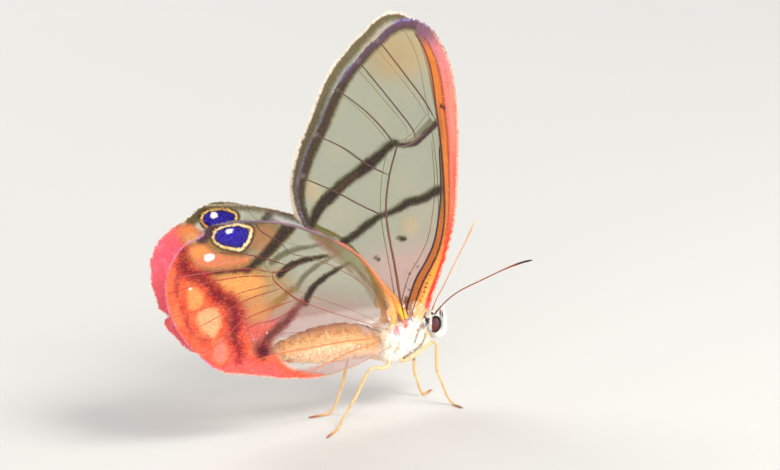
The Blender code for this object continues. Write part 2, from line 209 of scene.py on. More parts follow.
class Painter:
    """Lays soft strokes of colour and opacity over a set of places."""

    def __init__(self, places: Array, base: str, alpha: float = 1.0, ragged: float = 0.06) -> None:
        """Starts from one colour.

        Args:
            places: where the colours are wanted, in any number of dimensions.
            base: the ground colour.
            alpha: its opacity.
            ragged: how far the edges of strokes wander.
        """
        self.places = places
        self.rgb = np.tile(tint(base), (len(places), 1))
        self.alpha = np.full(len(places), alpha)
        self.wander = ragged * (grain(places, 0.16, 3) + 0.7 * grain(places, 0.45, 4))

    def lay(self, mask: Array, colour: str, alpha: float | None = None) -> None:
        """Mixes a colour in where the mask says, and its opacity if one is given.

        Args:
            mask: how much at each place.
            colour: the colour.
            alpha: its opacity.
        """
        mask = np.clip(mask, 0, 1)
        self.rgb += (tint(colour) - self.rgb) * mask[:, None]
        if alpha is not None:
            self.alpha += (alpha - self.alpha) * mask

    def line(
        self, points: Points, half: float | Sequence[float], colour: str,
        alpha: float | None = None, soft: float = 0.1, strength: float = 1.0,
    ) -> None:
        """Paints a stroke along a line.

        Args:
            points: the line.
            half: its half width, or one at each of several even places along it.
            colour: its colour.
            alpha: its opacity.
            soft: how wide its edge fades.
            strength: how much of it shows.
        """
        far, place = nearest(self.places, smooth_line(points, 6 * len(points)))
        width = np.interp(place, np.linspace(0, 1, np.size(half)), np.atleast_1d(half))
        far = far + self.wander
        self.lay(strength * step(soft, -soft, far - width), colour, alpha)

    def patch(
        self, loop: Points, colour: str, alpha: float | None = None, soft: float = 0.1,
        strength: float = 1.0, grow: float = 0.0,
    ) -> Array:
        """Paints within a smooth closed loop.

        Args:
            loop: the loop's points.
            colour: the colour.
            alpha: its opacity.
            soft: how wide its edge fades.
            strength: how much of it shows.
            grow: how far past the loop.

        Returns:
            The depth at each place.
        """
        depth = depth_in(self.places, smooth_line(loop, 8 * len(loop), closed=True)) + self.wander
        self.lay(strength * step(-soft, soft, depth + grow), colour, alpha)
        return depth

    def spot(
        self, centre: Sequence[float], radii: Sequence[float], colour: str,
        alpha: float | None = None, soft: float = 0.3, strength: float = 1.0,
    ) -> None:
        """Paints an oval whose edge fades over the share soft of its radius.

        Args:
            centre: its middle.
            radii: half its size each way.
            colour: the colour.
            alpha: its opacity.
            soft: how wide its edge fades.
            strength: how much of it shows.
        """
        off = (self.places - np.asarray(centre)) / np.asarray(radii)
        far = np.linalg.norm(off, axis=1) + self.wander / min(radii)
        self.lay(strength * step(1 + soft, 1 - soft, far), colour, alpha)

    def colours(self) -> Array:
        """Red, green, blue and opacity at each place."""
        return np.column_stack([np.clip(self.rgb, 0, 1), np.clip(self.alpha, 0, 1)])


@dataclass
class Form:
    """A mesh being made, in millimetres from the middle of the body."""

    points: Array
    faces: list[tuple[int, ...]]
    paint: Array | None = None
    lie: Array | None = None
    wrap: Array | None = None
    density: Array | None = None

    def mesh(self, name: str) -> bpy.types.Mesh:
        """The form as a Blender mesh with its values as point attributes.

        Args:
            name: the new mesh's name.

        Returns:
            The mesh.
        """
        mesh = bpy.data.meshes.new(name)
        mesh.from_pydata([tuple(p) for p in self.points], [], self.faces)
        mesh.update()
        if self.paint is not None:
            layer = mesh.color_attributes.new("Paint", "FLOAT_COLOR", "POINT")
            layer.data.foreach_set("color", self.paint.astype(np.float32).ravel())
        for title, values in (("lie", self.lie), ("wrap", self.wrap)):
            if values is not None:
                layer = mesh.attributes.new(title, "FLOAT_VECTOR", "POINT")
                layer.data.foreach_set("vector", values.astype(np.float32).ravel())
        if self.density is not None:
            layer = mesh.attributes.new("density", "FLOAT", "POINT")
            layer.data.foreach_set("value", self.density.astype(np.float32))
        return mesh


def joined(forms: Sequence[Form]) -> Form:
    """Several forms as one, with their colours.

    Args:
        forms: the forms.

    Returns:
        The one form.
    """
    start, points, faces, paints = 0, [], [], []
    for form in forms:
        points.append(form.points)
        faces += [tuple(i + start for i in face) for face in form.faces]
        paints.append(form.paint)
        start += len(form.points)
    return Form(np.vstack(points), faces, np.vstack(paints) if paints[0] is not None else None)


def sweep(stations: Array, sides: int) -> Form:
    """A closed tube with rounded ends.

    Args:
        stations: x, y, z, half width and half height at each ring.
        sides: points in a ring.

    Returns:
        The tube.
    """
    path, widths, heights = stations[:, :3], stations[:, 3], stations[:, 4]
    along = unit(np.gradient(path, axis=0))
    across = np.array([0.0, 1.0, 0.0])
    across = across - along[0] * (across @ along[0])
    if np.linalg.norm(across) < 0.2:
        across = np.cross(along[0], (0.0, 0.0, 1.0))
    points, faces = [], []
    turns = 2 * pi * (np.arange(sides) + 0.5) / sides
    for centre, way, width, height in zip(path, along, widths, heights):
        across = across - way * (across @ way)
        across /= np.linalg.norm(across)
        up = np.cross(way, across)
        points.append(
            centre + np.outer(np.cos(turns) * width, across) + np.outer(np.sin(turns) * height, up)
        )
    points = np.vstack(points)
    first = len(points)
    ends = [path[0] - along[0] * 0.6 * heights[0], path[-1] + along[-1] * 0.6 * heights[-1]]
    points = np.vstack([points, ends])
    for ring in range(len(path) - 1):
        for k in range(sides):
            a, b = ring * sides + k, ring * sides + (k + 1) % sides
            faces.append((a, b, b + sides, a + sides))
    last = (len(path) - 1) * sides
    for k in range(sides):
        faces.append((first, (k + 1) % sides, k))
        faces.append((first + 1, last + k, last + (k + 1) % sides))
    return Form(points, faces)


def added(name: str, data: bpy.types.ID) -> bpy.types.Object:
    """A new object in the scene.

    Args:
        name: its name.
        data: its mesh, light or camera.

    Returns:
        The object.
    """
    thing = bpy.data.objects.new(name, data)
    bpy.context.scene.collection.objects.link(thing)
    return thing


class Nodes:
    """A small hand for building node trees."""

    def __init__(self, tree: bpy.types.NodeTree) -> None:
        """Takes the tree to build in."""
        self.tree = tree

    def add(
        self, kind: str, inputs: dict[str | int, object] | None = None, **settings: object
    ) -> bpy.types.Node:
        """Adds a node.

        Args:
            kind: the node's type name.
            inputs: values or sockets for its inputs, by name or number.
            **settings: the node's own properties.

        Returns:
            The node.
        """
        node = self.tree.nodes.new(kind)
        for name, value in settings.items():
            setattr(node, name, value)
        for name, value in (inputs or {}).items():
            if isinstance(value, bpy.types.NodeSocket):
                self.tree.links.new(value, node.inputs[name])
            else:
                node.inputs[name].default_value = value
        return node

    def math(self, operation: str, a: object, b: object = 0.0) -> Socket:
        """The result of a sum on two values or sockets."""
        return self.add("ShaderNodeMath", {0: a, 1: b}, operation=operation).outputs[0]

    def toned(self, colour: Socket, shade: Socket) -> Socket:
        """The colour multiplied by a shade."""
        kind = {"data_type": "RGBA", "blend_type": "MULTIPLY"}
        return self.add("ShaderNodeMix", {0: 1.0, 6: colour, 7: shade}, **kind).outputs[2]

    def bumped(self, height: Socket, strength: float, deep: float) -> Socket:
        """The normal bumped by a height, as many millimetres deep."""
        values = {"Height": height, "Strength": strength, "Distance": deep * MM}
        return self.add("ShaderNodeBump", values).outputs[0]

    def named(self, name: str, kind: str = "FLOAT") -> Socket:
        """The socket of a named attribute."""
        return self.add("GeometryNodeInputNamedAttribute", {"Name": name}, data_type=kind).outputs[0]

    def random(self, low: float, seed: int) -> Socket:
        """A random value from low to 1 for each point.

        Args:
            low: the least.
            seed: which run of values.

        Returns:
            Its socket.
        """
        node = self.add("FunctionNodeRandomValue", data_type="FLOAT")
        node.inputs[2].default_value, node.inputs[3].default_value = low, 1.0
        node.inputs["Seed"].default_value = seed
        return node.outputs[1]

    def held(self, geometry: bpy.types.Node, value: Socket) -> tuple[Socket, Socket]:
        """The geometry with a vector kept on it, and that vector's socket.

        Args:
            geometry: the node that gives it.
            value: the vector.

        Returns:
            Both sockets.
        """
        node = self.add("GeometryNodeCaptureAttribute", domain="POINT")
        node.capture_items.new("VECTOR", "Normal")
        self.tree.links.new(geometry.outputs[0], node.inputs[0])
        self.tree.links.new(value, node.inputs[1])
        return node.outputs[0], node.outputs[1]


class ScatterTree:
    """Geometry Nodes that lay small blades over a surface along its lie."""

    def __init__(self) -> None:
        """Builds the tree, with named inputs for its sizes."""
        tree = bpy.data.node_groups.new("lay_blades", "GeometryNodeTree")
        self.tree = tree
        kinds = {"Surface": "Geometry", "Blade": "Object", "Seed": "Int", "Finish": "Material"}
        sizes = ("Count per mm2", "Length", "Length spread", "Lift", "Lift spread", "Swing")
        for name in ("Surface", "Blade", *sizes, "Seed", "Finish"):
            kind = "NodeSocket" + kinds.get(name, "Float")
            tree.interface.new_socket(name, in_out="INPUT", socket_type=kind)
        tree.interface.new_socket("Blades", in_out="OUTPUT", socket_type="NodeSocketGeometry")
        hand = Nodes(tree)
        given = hand.add("NodeGroupInput").outputs
        often = hand.math("MULTIPLY", hand.named("density"), given["Count per mm2"])
        spread = hand.add(
            "GeometryNodeDistributePointsOnFaces",
            {"Mesh": given["Surface"], "Density": often, "Seed": given["Seed"]},
            distribute_method="RANDOM",
        )
        marked = hand.add(
            "GeometryNodeStoreNamedAttribute",
            {"Geometry": spread.outputs["Points"], "Name": "shade", "Value": hand.random(0.0, 7)},
            data_type="FLOAT",
            domain="POINT",
        )
        points, normal = hand.held(marked, spread.outputs["Normal"])
        axes = hand.add(
            "FunctionNodeAxesToRotation",
            {0: normal, 1: hand.named("lie", "FLOAT_VECTOR")},
            primary_axis="Z",
            secondary_axis="Y",
        )
        lift, swing, more = (
            hand.math("MULTIPLY", hand.random(-1.0, seed), given[name])
            for name, seed in (("Lift spread", 11), ("Swing", 13), ("Length spread", 17))
        )
        turn = hand.add("ShaderNodeCombineXYZ", {"X": hand.math("ADD", given["Lift"], lift), "Z": swing})
        euler = hand.add("FunctionNodeEulerToRotation", {0: turn.outputs[0]})
        turned = hand.add(
            "FunctionNodeRotateRotation",
            {0: axes.outputs[0], 1: euler.outputs[0]},
            rotation_space="LOCAL",
        )
        size = hand.math("MULTIPLY", given["Length"], hand.math("ADD", 1.0, more))
        blade = hand.add("GeometryNodeObjectInfo", {"Object": given["Blade"]}).outputs["Geometry"]
        placed = hand.add(
            "GeometryNodeInstanceOnPoints",
            {"Points": points, "Instance": blade, "Rotation": turned.outputs[0], "Scale": size},
        )
        real = hand.add("GeometryNodeRealizeInstances", {"Geometry": placed.outputs[0]})
        wrap, patch = (
            hand.add("ShaderNodeSeparateXYZ", {0: hand.named(name, "FLOAT_VECTOR")}).outputs
            for name in ("wrap", "patch")
        )
        angle = hand.math("ARCTAN2", wrap[1], wrap[0])
        around = hand.math("ADD", hand.math("DIVIDE", angle, 2 * pi), 0.5)
        across, along = (hand.math("MULTIPLY", patch[i], BLADE_PATCH) for i in (0, 1))
        spot = hand.add(
            "ShaderNodeCombineXYZ",
            {"X": hand.math("ADD", around, across), "Y": hand.math("ADD", wrap[2], along)},
        )
        mapped = hand.add(
            "GeometryNodeStoreNamedAttribute",
            {"Geometry": real.outputs[0], "Name": "OFBake", "Value": spot.outputs[0]},
            data_type="FLOAT2",
            domain="CORNER",
        )
        dressed = hand.add(
            "GeometryNodeSetMaterial", {"Geometry": mapped.outputs[0], "Material": given["Finish"]}
        )
        hand.add("NodeGroupOutput", {0: dressed.outputs[0]})

    def lay(
        self, name: str, surface: Form, blade: bpy.types.Object, finish: bpy.types.Material, **sizes: float
    ) -> bpy.types.Mesh:
        """Lays blades over a surface.

        Args:
            name: the new mesh's name.
            surface: the form they stand on, with its lie, density, wrap and colours.
            blade: the object of one blade, one millimetre long.
            finish: their material.
            **sizes: values for the tree's inputs, with underscores for spaces.

        Returns:
            The blades as one plain mesh.
        """
        carrier = added(name, surface.mesh(name))
        modifier = carrier.modifiers.new("blades", "NODES")
        modifier.node_group = self.tree
        values = {"Blade": blade, "Finish": finish, **{k.replace("_", " "): v for k, v in sizes.items()}}
        for item in self.tree.interface.items_tree:
            if item.in_out == "INPUT" and item.name in values:
                modifier[item.identifier] = values[item.name]
        bpy.context.view_layer.update()
        graph = bpy.context.evaluated_depsgraph_get()
        mesh = bpy.data.meshes.new_from_object(carrier.evaluated_get(graph))
        bpy.data.objects.remove(carrier, do_unlink=True)
        for spare in ("lie", "wrap", "density", "patch", "Normal"):
            if spare in mesh.attributes:
                mesh.attributes.remove(mesh.attributes[spare])
        return mesh


class Blades:
    """The few shapes that are repeated: a scale, a hair and a tuft of hairs."""

    def __init__(self) -> None:
        """Builds the three shapes, each one millimetre long along y."""
        self.scale = self.strip("one_scale", ((0.0, 0.16), (0.45, 0.3), (0.9, 0.24)), tip=1.0, rise=0.06)
        self.hair = self.strip("one_hair", ((0.0, 0.05), (0.5, 0.045)), tip=1.0, rise=0.12)
        self.tuft = self.bundle("one_tuft", 3)

    @staticmethod
    def strip_form(
        rows: Points, tip: float, rise: float, turn: float = 0.0, across: float = 0.0
    ) -> tuple[list, list, list]:
        """Points, faces and patch places of one flat tapered blade with a back and a front.

        Args:
            rows: stations along it.
            tip: how far its point reaches.
            rise: how high it bows.
            turn: its turn about its root.
            across: its root's offset.

        Returns:
            The points, faces and places.
        """
        points, patch, faces = [], [], []
        for away in (0.0, 1.0):
            for y, half in rows:
                for way in (-1, 1):
                    lift = rise * 4 * y * (1 - y) - away * 0.03 * (1 - y)
                    points.append((across + way * half, y, lift))
                    patch.append((way * 0.4, y, 0.0))
        points.append((across, tip, 0.0))
        patch.append((0.0, 1.0, 0.0))
        count, last = 2 * len(rows), len(points) - 1
        for side, flip in ((0, False), (count, True)):
            for i in range(len(rows) - 1):
                a = side + 2 * i
                face = (a, a + 1, a + 3, a + 2)
                faces.append(face[::-1] if flip else face)
            end = (side + count - 2, side + count - 1, last)
            faces.append(end[::-1] if flip else end)
        for i in range(len(rows) - 1):
            a = 2 * i
            faces.append((a + 2, a + 2 + count, a + count, a))
            faces.append((a + 1, a + 1 + count, a + 3 + count, a + 3))
        faces.append((count - 2, last, 2 * count - 2))
        faces.append((count - 1, 2 * count - 1, last))
        faces.append((1, 0, count, count + 1))
        spun = Matrix.Rotation(turn, 3, "Z")
        return [tuple(spun @ Vector(p)) for p in points], faces, patch

    def strip(self, name: str, rows: Points, tip: float, rise: float) -> bpy.types.Object:
        """One blade as an object."""
        return self.thing(name, *self.strip_form(rows, tip, rise))

    def bundle(self, name: str, count: int) -> bpy.types.Object:
        """A tuft of hairs that fan out from one root.

        Args:
            name: the new mesh's name.
            count: how many hairs.

        Returns:
            The tuft.
        """
        points, faces, patch = [], [], []
        for i in range(count):
            fan = (i - (count - 1) / 2) * 0.32
            rows = ((0.0, 0.045), (0.55, 0.04))
            more = self.strip_form(rows, 1.0 - 0.12 * abs(fan), 0.16, fan, fan * 0.15)
            start = len(points)
            points += more[0]
            faces += [tuple(v + start for v in face) for face in more[1]]
            patch += more[2]
        return self.thing(name, points, faces, patch)

    @staticmethod
    def thing(name: str, points: list, faces: list, patch: list) -> bpy.types.Object:
        """A blade's mesh as an object outside the scene.

        Args:
            name: the new mesh's name.
            points: the places.
            faces: its faces.
            patch: its UV places.

        Returns:
            The object.
        """
        mesh = bpy.data.meshes.new(name)
        mesh.from_pydata(points, [], faces)
        layer = mesh.attributes.new("patch", "FLOAT_VECTOR", "POINT")
        layer.data.foreach_set("vector", np.asarray(patch, np.float32).ravel())
        return bpy.data.objects.new(name, mesh)


@dataclass(frozen=True)
class Finish:
    """A surface that takes its colour from the painted values."""

    name: str
    roughness: float = 0.6
    specular: float = 0.4
    coat: float = 0.0
    sheen: float = 0.0
    film: float = 0.0
    grain_size: float = 0.12
    grain_depth: float = 0.15
    bump: float = 0.2
    shaded: bool = False
    clear: bool = False

    def made(self, grain_group: bpy.types.NodeTree) -> bpy.types.Material:
        """Builds the material.

        Args:
            grain_group: the shared group of fine grain.

        Returns:
            The material.
        """
        material = bpy.data.materials.new(self.name)
        material.use_nodes = True
        hand = Nodes(material.node_tree)
        shader = material.node_tree.nodes["Principled BSDF"]
        paint = hand.add("ShaderNodeAttribute", attribute_name="Paint")
        grainy = hand.add("ShaderNodeGroup", node_tree=grain_group)
        grainy.inputs["Size"].default_value = self.grain_size * MM
        grainy.inputs["Depth"].default_value = self.grain_depth
        shade = grainy.outputs["Shade"]
        if self.shaded:
            each = hand.add("ShaderNodeAttribute", attribute_name="shade")
            level = hand.math("ADD", hand.math("MULTIPLY", each.outputs["Fac"], 0.34), 0.83)
            shade = hand.math("MULTIPLY", shade, level)
        link = material.node_tree.links.new
        link(hand.toned(paint.outputs["Color"], shade), shader.inputs["Base Color"])
        link(hand.bumped(grainy.outputs["Height"], self.bump, 0.02), shader.inputs["Normal"])
        if self.clear:
            link(paint.outputs["Alpha"], shader.inputs["Alpha"])
            spans = {"From Min": 0.3, "From Max": 0.9, "To Min": 0.22, "To Max": 0.62}
            rough = hand.add("ShaderNodeMapRange", {"Value": paint.outputs["Alpha"], **spans})
            link(rough.outputs[0], shader.inputs["Roughness"])
        else:
            shader.inputs["Roughness"].default_value = self.roughness
        for socket, value in (
            ("Specular IOR Level", self.specular), ("Coat Weight", self.coat), ("Coat Roughness", 0.12),
            ("Sheen Weight", self.sheen), ("Thin Film Thickness", self.film),
        ):
            shader.inputs[socket].default_value = value
        return material


class Palette:
    """All the finishes, made once."""

    def __init__(self) -> None:
        """Builds the shared grain and each material."""
        group = self.grain_group()
        self.membrane = Finish(
            "clear_membrane", specular=0.5, film=320.0, grain_size=0.09, grain_depth=0.22, bump=0.25,
            clear=True
        ).made(group)
        self.vein = Finish("wing_vein", roughness=0.5, grain_depth=0.25, bump=0.3).made(group)
        self.scale = Finish(
            "wing_scales", roughness=0.62, sheen=0.1, shaded=True, grain_depth=0.1
        ).made(group)
        self.fringe = Finish("fringe_scales", roughness=0.6, sheen=0.2, shaded=True).made(group)
        self.skin = Finish("body_skin", roughness=0.8, grain_depth=0.3, bump=0.5).made(group)
        self.coat = Finish(
            "body_scales", roughness=0.7, sheen=0.35, shaded=True, grain_depth=0.1
        ).made(group)
        self.chitin = Finish(
            "limb_chitin", roughness=0.38, specular=0.5, coat=0.15, grain_size=0.06, grain_depth=0.2,
            bump=0.3
        ).made(group)
        self.eye = self.eye_material()

    @staticmethod
    def grain_group() -> bpy.types.NodeTree:
        """The shader group of fine grain: a shade to multiply by and a height for bumps.

        Returns:
            The group.
        """
        tree = bpy.data.node_groups.new("fine_grain", "ShaderNodeTree")
        tree.interface.new_socket("Size", in_out="INPUT", socket_type="NodeSocketFloat")
        tree.interface.new_socket("Depth", in_out="INPUT", socket_type="NodeSocketFloat")
        tree.interface.new_socket("Shade", in_out="OUTPUT", socket_type="NodeSocketFloat")
        tree.interface.new_socket("Height", in_out="OUTPUT", socket_type="NodeSocketFloat")
        hand = Nodes(tree)
        given = hand.add("NodeGroupInput").outputs
        place = hand.add("ShaderNodeTexCoord").outputs["Object"]
        often = hand.math("DIVIDE", 1.0, given["Size"])
        cells = hand.add(
            "ShaderNodeTexVoronoi", {"Vector": place, "Scale": often}, feature="F1"
        ).outputs["Distance"]
        cloud = hand.add(
            "ShaderNodeTexNoise", {"Vector": place, "Scale": hand.math("MULTIPLY", often, 0.35),
                "Detail": 3.0}
        ).outputs["Fac"]
        both = hand.math("ADD", hand.math("MULTIPLY", cells, 0.6), hand.math("MULTIPLY", cloud, 0.8))
        off = hand.math("MULTIPLY", hand.math("SUBTRACT", both, 0.68), given["Depth"])
        shade = hand.math("SUBTRACT", 1.0, off)
        hand.add("NodeGroupOutput", {"Shade": shade, "Height": both})
        return tree

    @staticmethod
    def eye_material() -> bpy.types.Material:
        """A glossy dark compound eye with fine facets and a darker rim, which is painted shade in its
        colours.

        Returns:
            The material.
        """
        material = bpy.data.materials.new("compound_eye_gloss")
        material.use_nodes = True
        hand = Nodes(material.node_tree)
        link = material.node_tree.links.new
        shader = material.node_tree.nodes["Principled BSDF"]
        paint = hand.add("ShaderNodeAttribute", attribute_name="Paint")
        place = hand.add("ShaderNodeTexCoord").outputs["Object"]
        facets = hand.add(
            "ShaderNodeTexVoronoi", {"Vector": place, "Scale": 1 / (0.045 * MM)}, feature="F1"
        )
        spans = {"Value": facets.outputs["Distance"], "To Min": 1.15, "To Max": 0.6}
        edge = hand.add("ShaderNodeMapRange", spans).outputs[0]
        link(hand.toned(paint.outputs["Color"], edge), shader.inputs["Base Color"])
        link(hand.bumped(edge, 0.25, 0.01), shader.inputs["Normal"])
        for socket, value in (
            ("Roughness", 0.42), ("Specular IOR Level", 0.25), ("Coat Weight", 0.1),
            ("Coat Roughness", 0.2),
        ):
            shader.inputs[socket].default_value = value
        return material


def add_piece(
    name: str, mesh: bpy.types.Mesh, finish: bpy.types.Material,
    replaces: Sequence[str] = (), smooth: bool = True,
) -> bpy.types.Object:
    """Makes an object of a mesh in millimetres, at its place in the frame.

    Args:
        name: the piece's name.
        mesh: its mesh.
        finish: its material.
        replaces: the solid nodes that it stands for.
        smooth: whether its faces are shaded smooth.

    Returns:
        The object.
    """
    mesh.transform(Matrix.Diagonal((MM, MM, MM, 1.0)) @ Matrix.Translation(Vector(SHIFT)))
    mesh.materials.clear()
    mesh.materials.append(finish)
    if smooth:
        mesh.shade_smooth()
    piece = added(name, mesh)
    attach(piece, "root")
    if replaces:
        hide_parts(*replaces)
    LOG.info("%s: %d faces", name, len(mesh.polygons))
    return piece


@dataclass(frozen=True)
class Bench:
    """What every piece is made with: the finishes, the tree that lays blades, and the blades."""

    palette: Palette
    scatter: ScatterTree
    blades: Blades

    def cover(
        self, name: str, form: Form, blade: bpy.types.Object, finish: bpy.types.Material, slot: str,
        **sizes: float,
    ) -> None:
        """Lays blades over a form and places them as one piece.

        Args:
            name: the piece's name.
            form: the ground that they stand on.
            blade: the blade.
            finish: their material.
            slot: a material slot name; not used.
            **sizes: values for the tree's inputs.
        """
        mesh = self.scatter.lay(name, form, blade, finish, **{"Length_spread": 0.3, **sizes})
        add_piece(name, mesh, finish, smooth=False)


@dataclass(frozen=True)
class Vein:
    """One wing vein: its line, its half width at both ends and its colours there."""

    line: Points
    root: float
    end: float
    near: str
    far: str


@dataclass
class Wing:
    """A pair of wings: the outline, the lean and the veins, with the ways to paint them."""

    name: str
    outline: Points
    veins: tuple[Vein, ...]
    hinge: tuple[float, float]
    hinge_reach: float
    open_reach: float
    tip_reach: float
    opens_in: float
    length: float
    bow: float
    squeeze: float
    squeeze_from: tuple[float, float]
    turn: float
    slot: str
    sides: tuple[Side, ...] = (Side.RIGHT, Side.LEFT)
    spacing: float = 0.15
    half_thick: float = 0.02
    scallop: float = 0.1
    fringe_length: float = 0.2
    fringe_base: float = 0.14
    fringe_half: float = 0.022
    hairs_per_mm2: float = 190.0
    scales_per_mm2: float = 34.0
    tube_sides: int = 6
    rim: Array = field(init=False)
    flat: Array = field(init=False)
    triangles: list[tuple[int, int, int]] = field(init=False)

    def __post_init__(self) -> None:
        """Splits the wing's plane into fine triangles once, for all four faces of the pair."""
        count = int(length_of(self.outline, closed=True) / self.spacing)
        rim = smooth_line(self.moved(self.outline), count, closed=True)
        out = rim - np.roll(rim, 1, axis=0)
        out = unit(np.stack([out[:, 1], -out[:, 0]], 1))
        if inside(rim[:1] + out[:1] * 0.2, rim)[0]:
            out = -out
        ends = self.moved([vein.line[-1] for vein in self.veins])
        gap = np.linalg.norm(rim[:, None] - ends, axis=2).min(1)
        wave = self.scallop * (step(0.0, 1.2, gap) - 0.6) + 0.02 * grain(rim, 0.5, 8)
        self.rim = rim + out * wave[:, None]
        low, high = self.rim.min(0), self.rim.max(0)
        rows = np.arange(low[1], high[1], self.spacing * 0.87)
        columns = np.arange(low[0], high[0], self.spacing)
        grid = np.array([(x + (i % 2) * self.spacing / 2, z) for i, z in enumerate(rows) for x in columns])
        grid = grid[inside(grid, self.rim)]
        far, _ = nearest(grid, np.vstack([self.rim, self.rim[:1]]))
        grid = grid[far > 0.55 * self.spacing]
        points = [Vector(p) for p in (*self.rim, *grid)]
        loop = [list(range(len(self.rim)))]
        found, _, faces, *_ = delaunay_2d_cdt(points, [], loop, 1, 1e-5)
        self.flat = np.array([tuple(p) for p in found])
        corner = self.flat[np.array(faces)]
        ahead, over = corner[:, 1] - corner[:, 0], corner[:, 2] - corner[:, 0]
        clockwise = ahead[:, 0] * over[:, 1] - ahead[:, 1] * over[:, 0] < 0
        self.triangles = [tuple(f[::-1]) if turn else tuple(f) for f, turn in zip(faces, clockwise)]

    def squeezed(self, flat: Array) -> Array:
        """How much nearer to the middle plane the wing comes halfway along, above the body."""
        far = np.clip(np.linalg.norm(flat - self.hinge, axis=1) / self.length, 0, 1)
        return self.squeeze * np.sin(far * pi) ** 2 * step(*self.squeeze_from, flat[:, 1])

    def moved(self, points: Points, way: int = 1) -> Array:
        """Traced points where the squeezed wing has them, or with way -1 the other way back."""
        flat = np.asarray(points, float)
        return flat + way * self.squeezed(flat)[:, None] * (0.287, -0.299)

    def lean(self, flat: Array) -> Array:
        """How far from the middle plane the wing lies at places of its own plane.

        Args:
            flat: places on the wing.

        Returns:
            The distances.
        """
        out = np.linalg.norm(flat - self.hinge, axis=1)
        near = step(0, self.opens_in, out)
        far = np.clip(out / self.length, 0, 1)
        wide = self.open_reach + (self.tip_reach - self.open_reach) * far
        wide += 0.04 * grain(flat, 3.2, 5) + self.bow * np.sin(far * pi)
        return self.hinge_reach + (wide - self.hinge_reach) * near - self.squeezed(flat)

    def raised(self, flat: Array, side: Side, away: Array | float) -> Array:
        """Places of the wing's plane as points in space, away outwards from its middle.

        Args:
            flat: places on the wing.
            side: which wing.
            away: how far outwards.

        Returns:
            The points.
        """
        turn = radians(self.turn if side is Side.LEFT else 0.0)
        off = flat - self.hinge
        x = off[:, 0] * cos(turn) - off[:, 1] * sin(turn) + self.hinge[0]
        z = off[:, 0] * sin(turn) + off[:, 1] * cos(turn) + self.hinge[1]
        return np.stack([x, side.value * (self.lean(flat) + away), z], 1)

    def painted(self, flat: Array, side: Side) -> Array:
        """The colours and opacity at places of the wing's plane."""
        raise NotImplementedError

    def faces(self, side: Side) -> Array:
        """The colours and opacity of the outer face and then of the inner one."""
        paint = self.painted(self.moved(self.flat, -1), side)
        return np.vstack([paint, paint])

    def slab(self, side: Side, paint: Array) -> Form:
        """The membrane, with an outer face, an inner face and its rim.

        Args:
            side: which wing.
            paint: colours at its points.

        Returns:
            The form.
        """
        count = len(self.flat)
        points = np.vstack([self.raised(self.flat, side, way * self.half_thick) for way in (1, -1)])
        faces, used = [], set()
        for a, b, c in self.triangles:
            used.update(((a, b), (b, c), (c, a)))
            faces += [(a, b, c), (a + count, c + count, b + count)]
        for a, b in used:
            if (b, a) not in used:
                faces.append((b, a, a + count, b + count))
        if side is Side.LEFT:
            faces = [face[::-1] for face in faces]
        return Form(points, faces, paint.copy())

    def tubes(self, side: Side) -> Form:
        """Every vein as a tapered tube set in the membrane.

        Args:
            side: which wing.

        Returns:
            The form.
        """
        made = []
        for vein in self.veins:
            count = max(8, int(length_of(vein.line) / 0.3))
            line = smooth_line(self.moved(vein.line), count)
            line = line[inside(line, self.rim) | (np.arange(count) < 3)]
            along = np.linspace(0, 1, len(line))
            width = (vein.root + (vein.end - vein.root) * along**0.7) * (0.5 if side is Side.LEFT else 1.15)
            if side is Side.RIGHT:
                width = np.maximum(width, 0.06 * step(-11.0, -13.0, line[:, 0]))
            width *= 0.4 + 0.6 * step(0.0, 0.14, along)
            points = self.raised(line, side, 0.0)
            tube = sweep(np.column_stack([points, width, width]), self.tube_sides)
            tone = (1 - along)[:, None] * tint(vein.near) + along[:, None] * tint(vein.far)
            if side is Side.LEFT:
                tone += (tint("96946e") - tone) * step(11.0, 14.0, line[:, 1])[:, None] * 0.75
            rings = np.repeat(tone, self.tube_sides, axis=0)
            rgb = np.vstack([rings, tone[:1], tone[-1:]])
            tube.paint = np.column_stack([rgb, np.ones(len(rgb))])
            made.append(tube)
        return joined(made)

    def scaled(self, side: Side, paint: Array) -> Form:
        """The membrane as a ground for scales, thick where it is painted opaque.

        Args:
            side: which wing.
            paint: colours at its points.

        Returns:
            The form.
        """
        form = self.slab(side, paint)
        low, high = self.flat.min(0), self.flat.max(0)
        share = (self.flat - low) / (high - low)
        wraps = []
        for face in (0, 1):
            angle = 2 * pi * (0.02 + 0.46 * share[:, 0] + 0.5 * face) - pi
            wraps.append(np.column_stack([np.cos(angle), np.sin(angle), 0.02 + 0.96 * share[:, 1]]))
        out = unit(self.flat - self.hinge, TINY)
        lie = np.column_stack([out[:, 0], np.zeros(len(out)), out[:, 1]])
        form.lie = np.vstack([lie, lie])
        form.wrap = np.vstack(wraps)
        form.density = step(0.62, 0.95, paint[:, 3])
        form.paint[:, 3] = 1.0
        return form

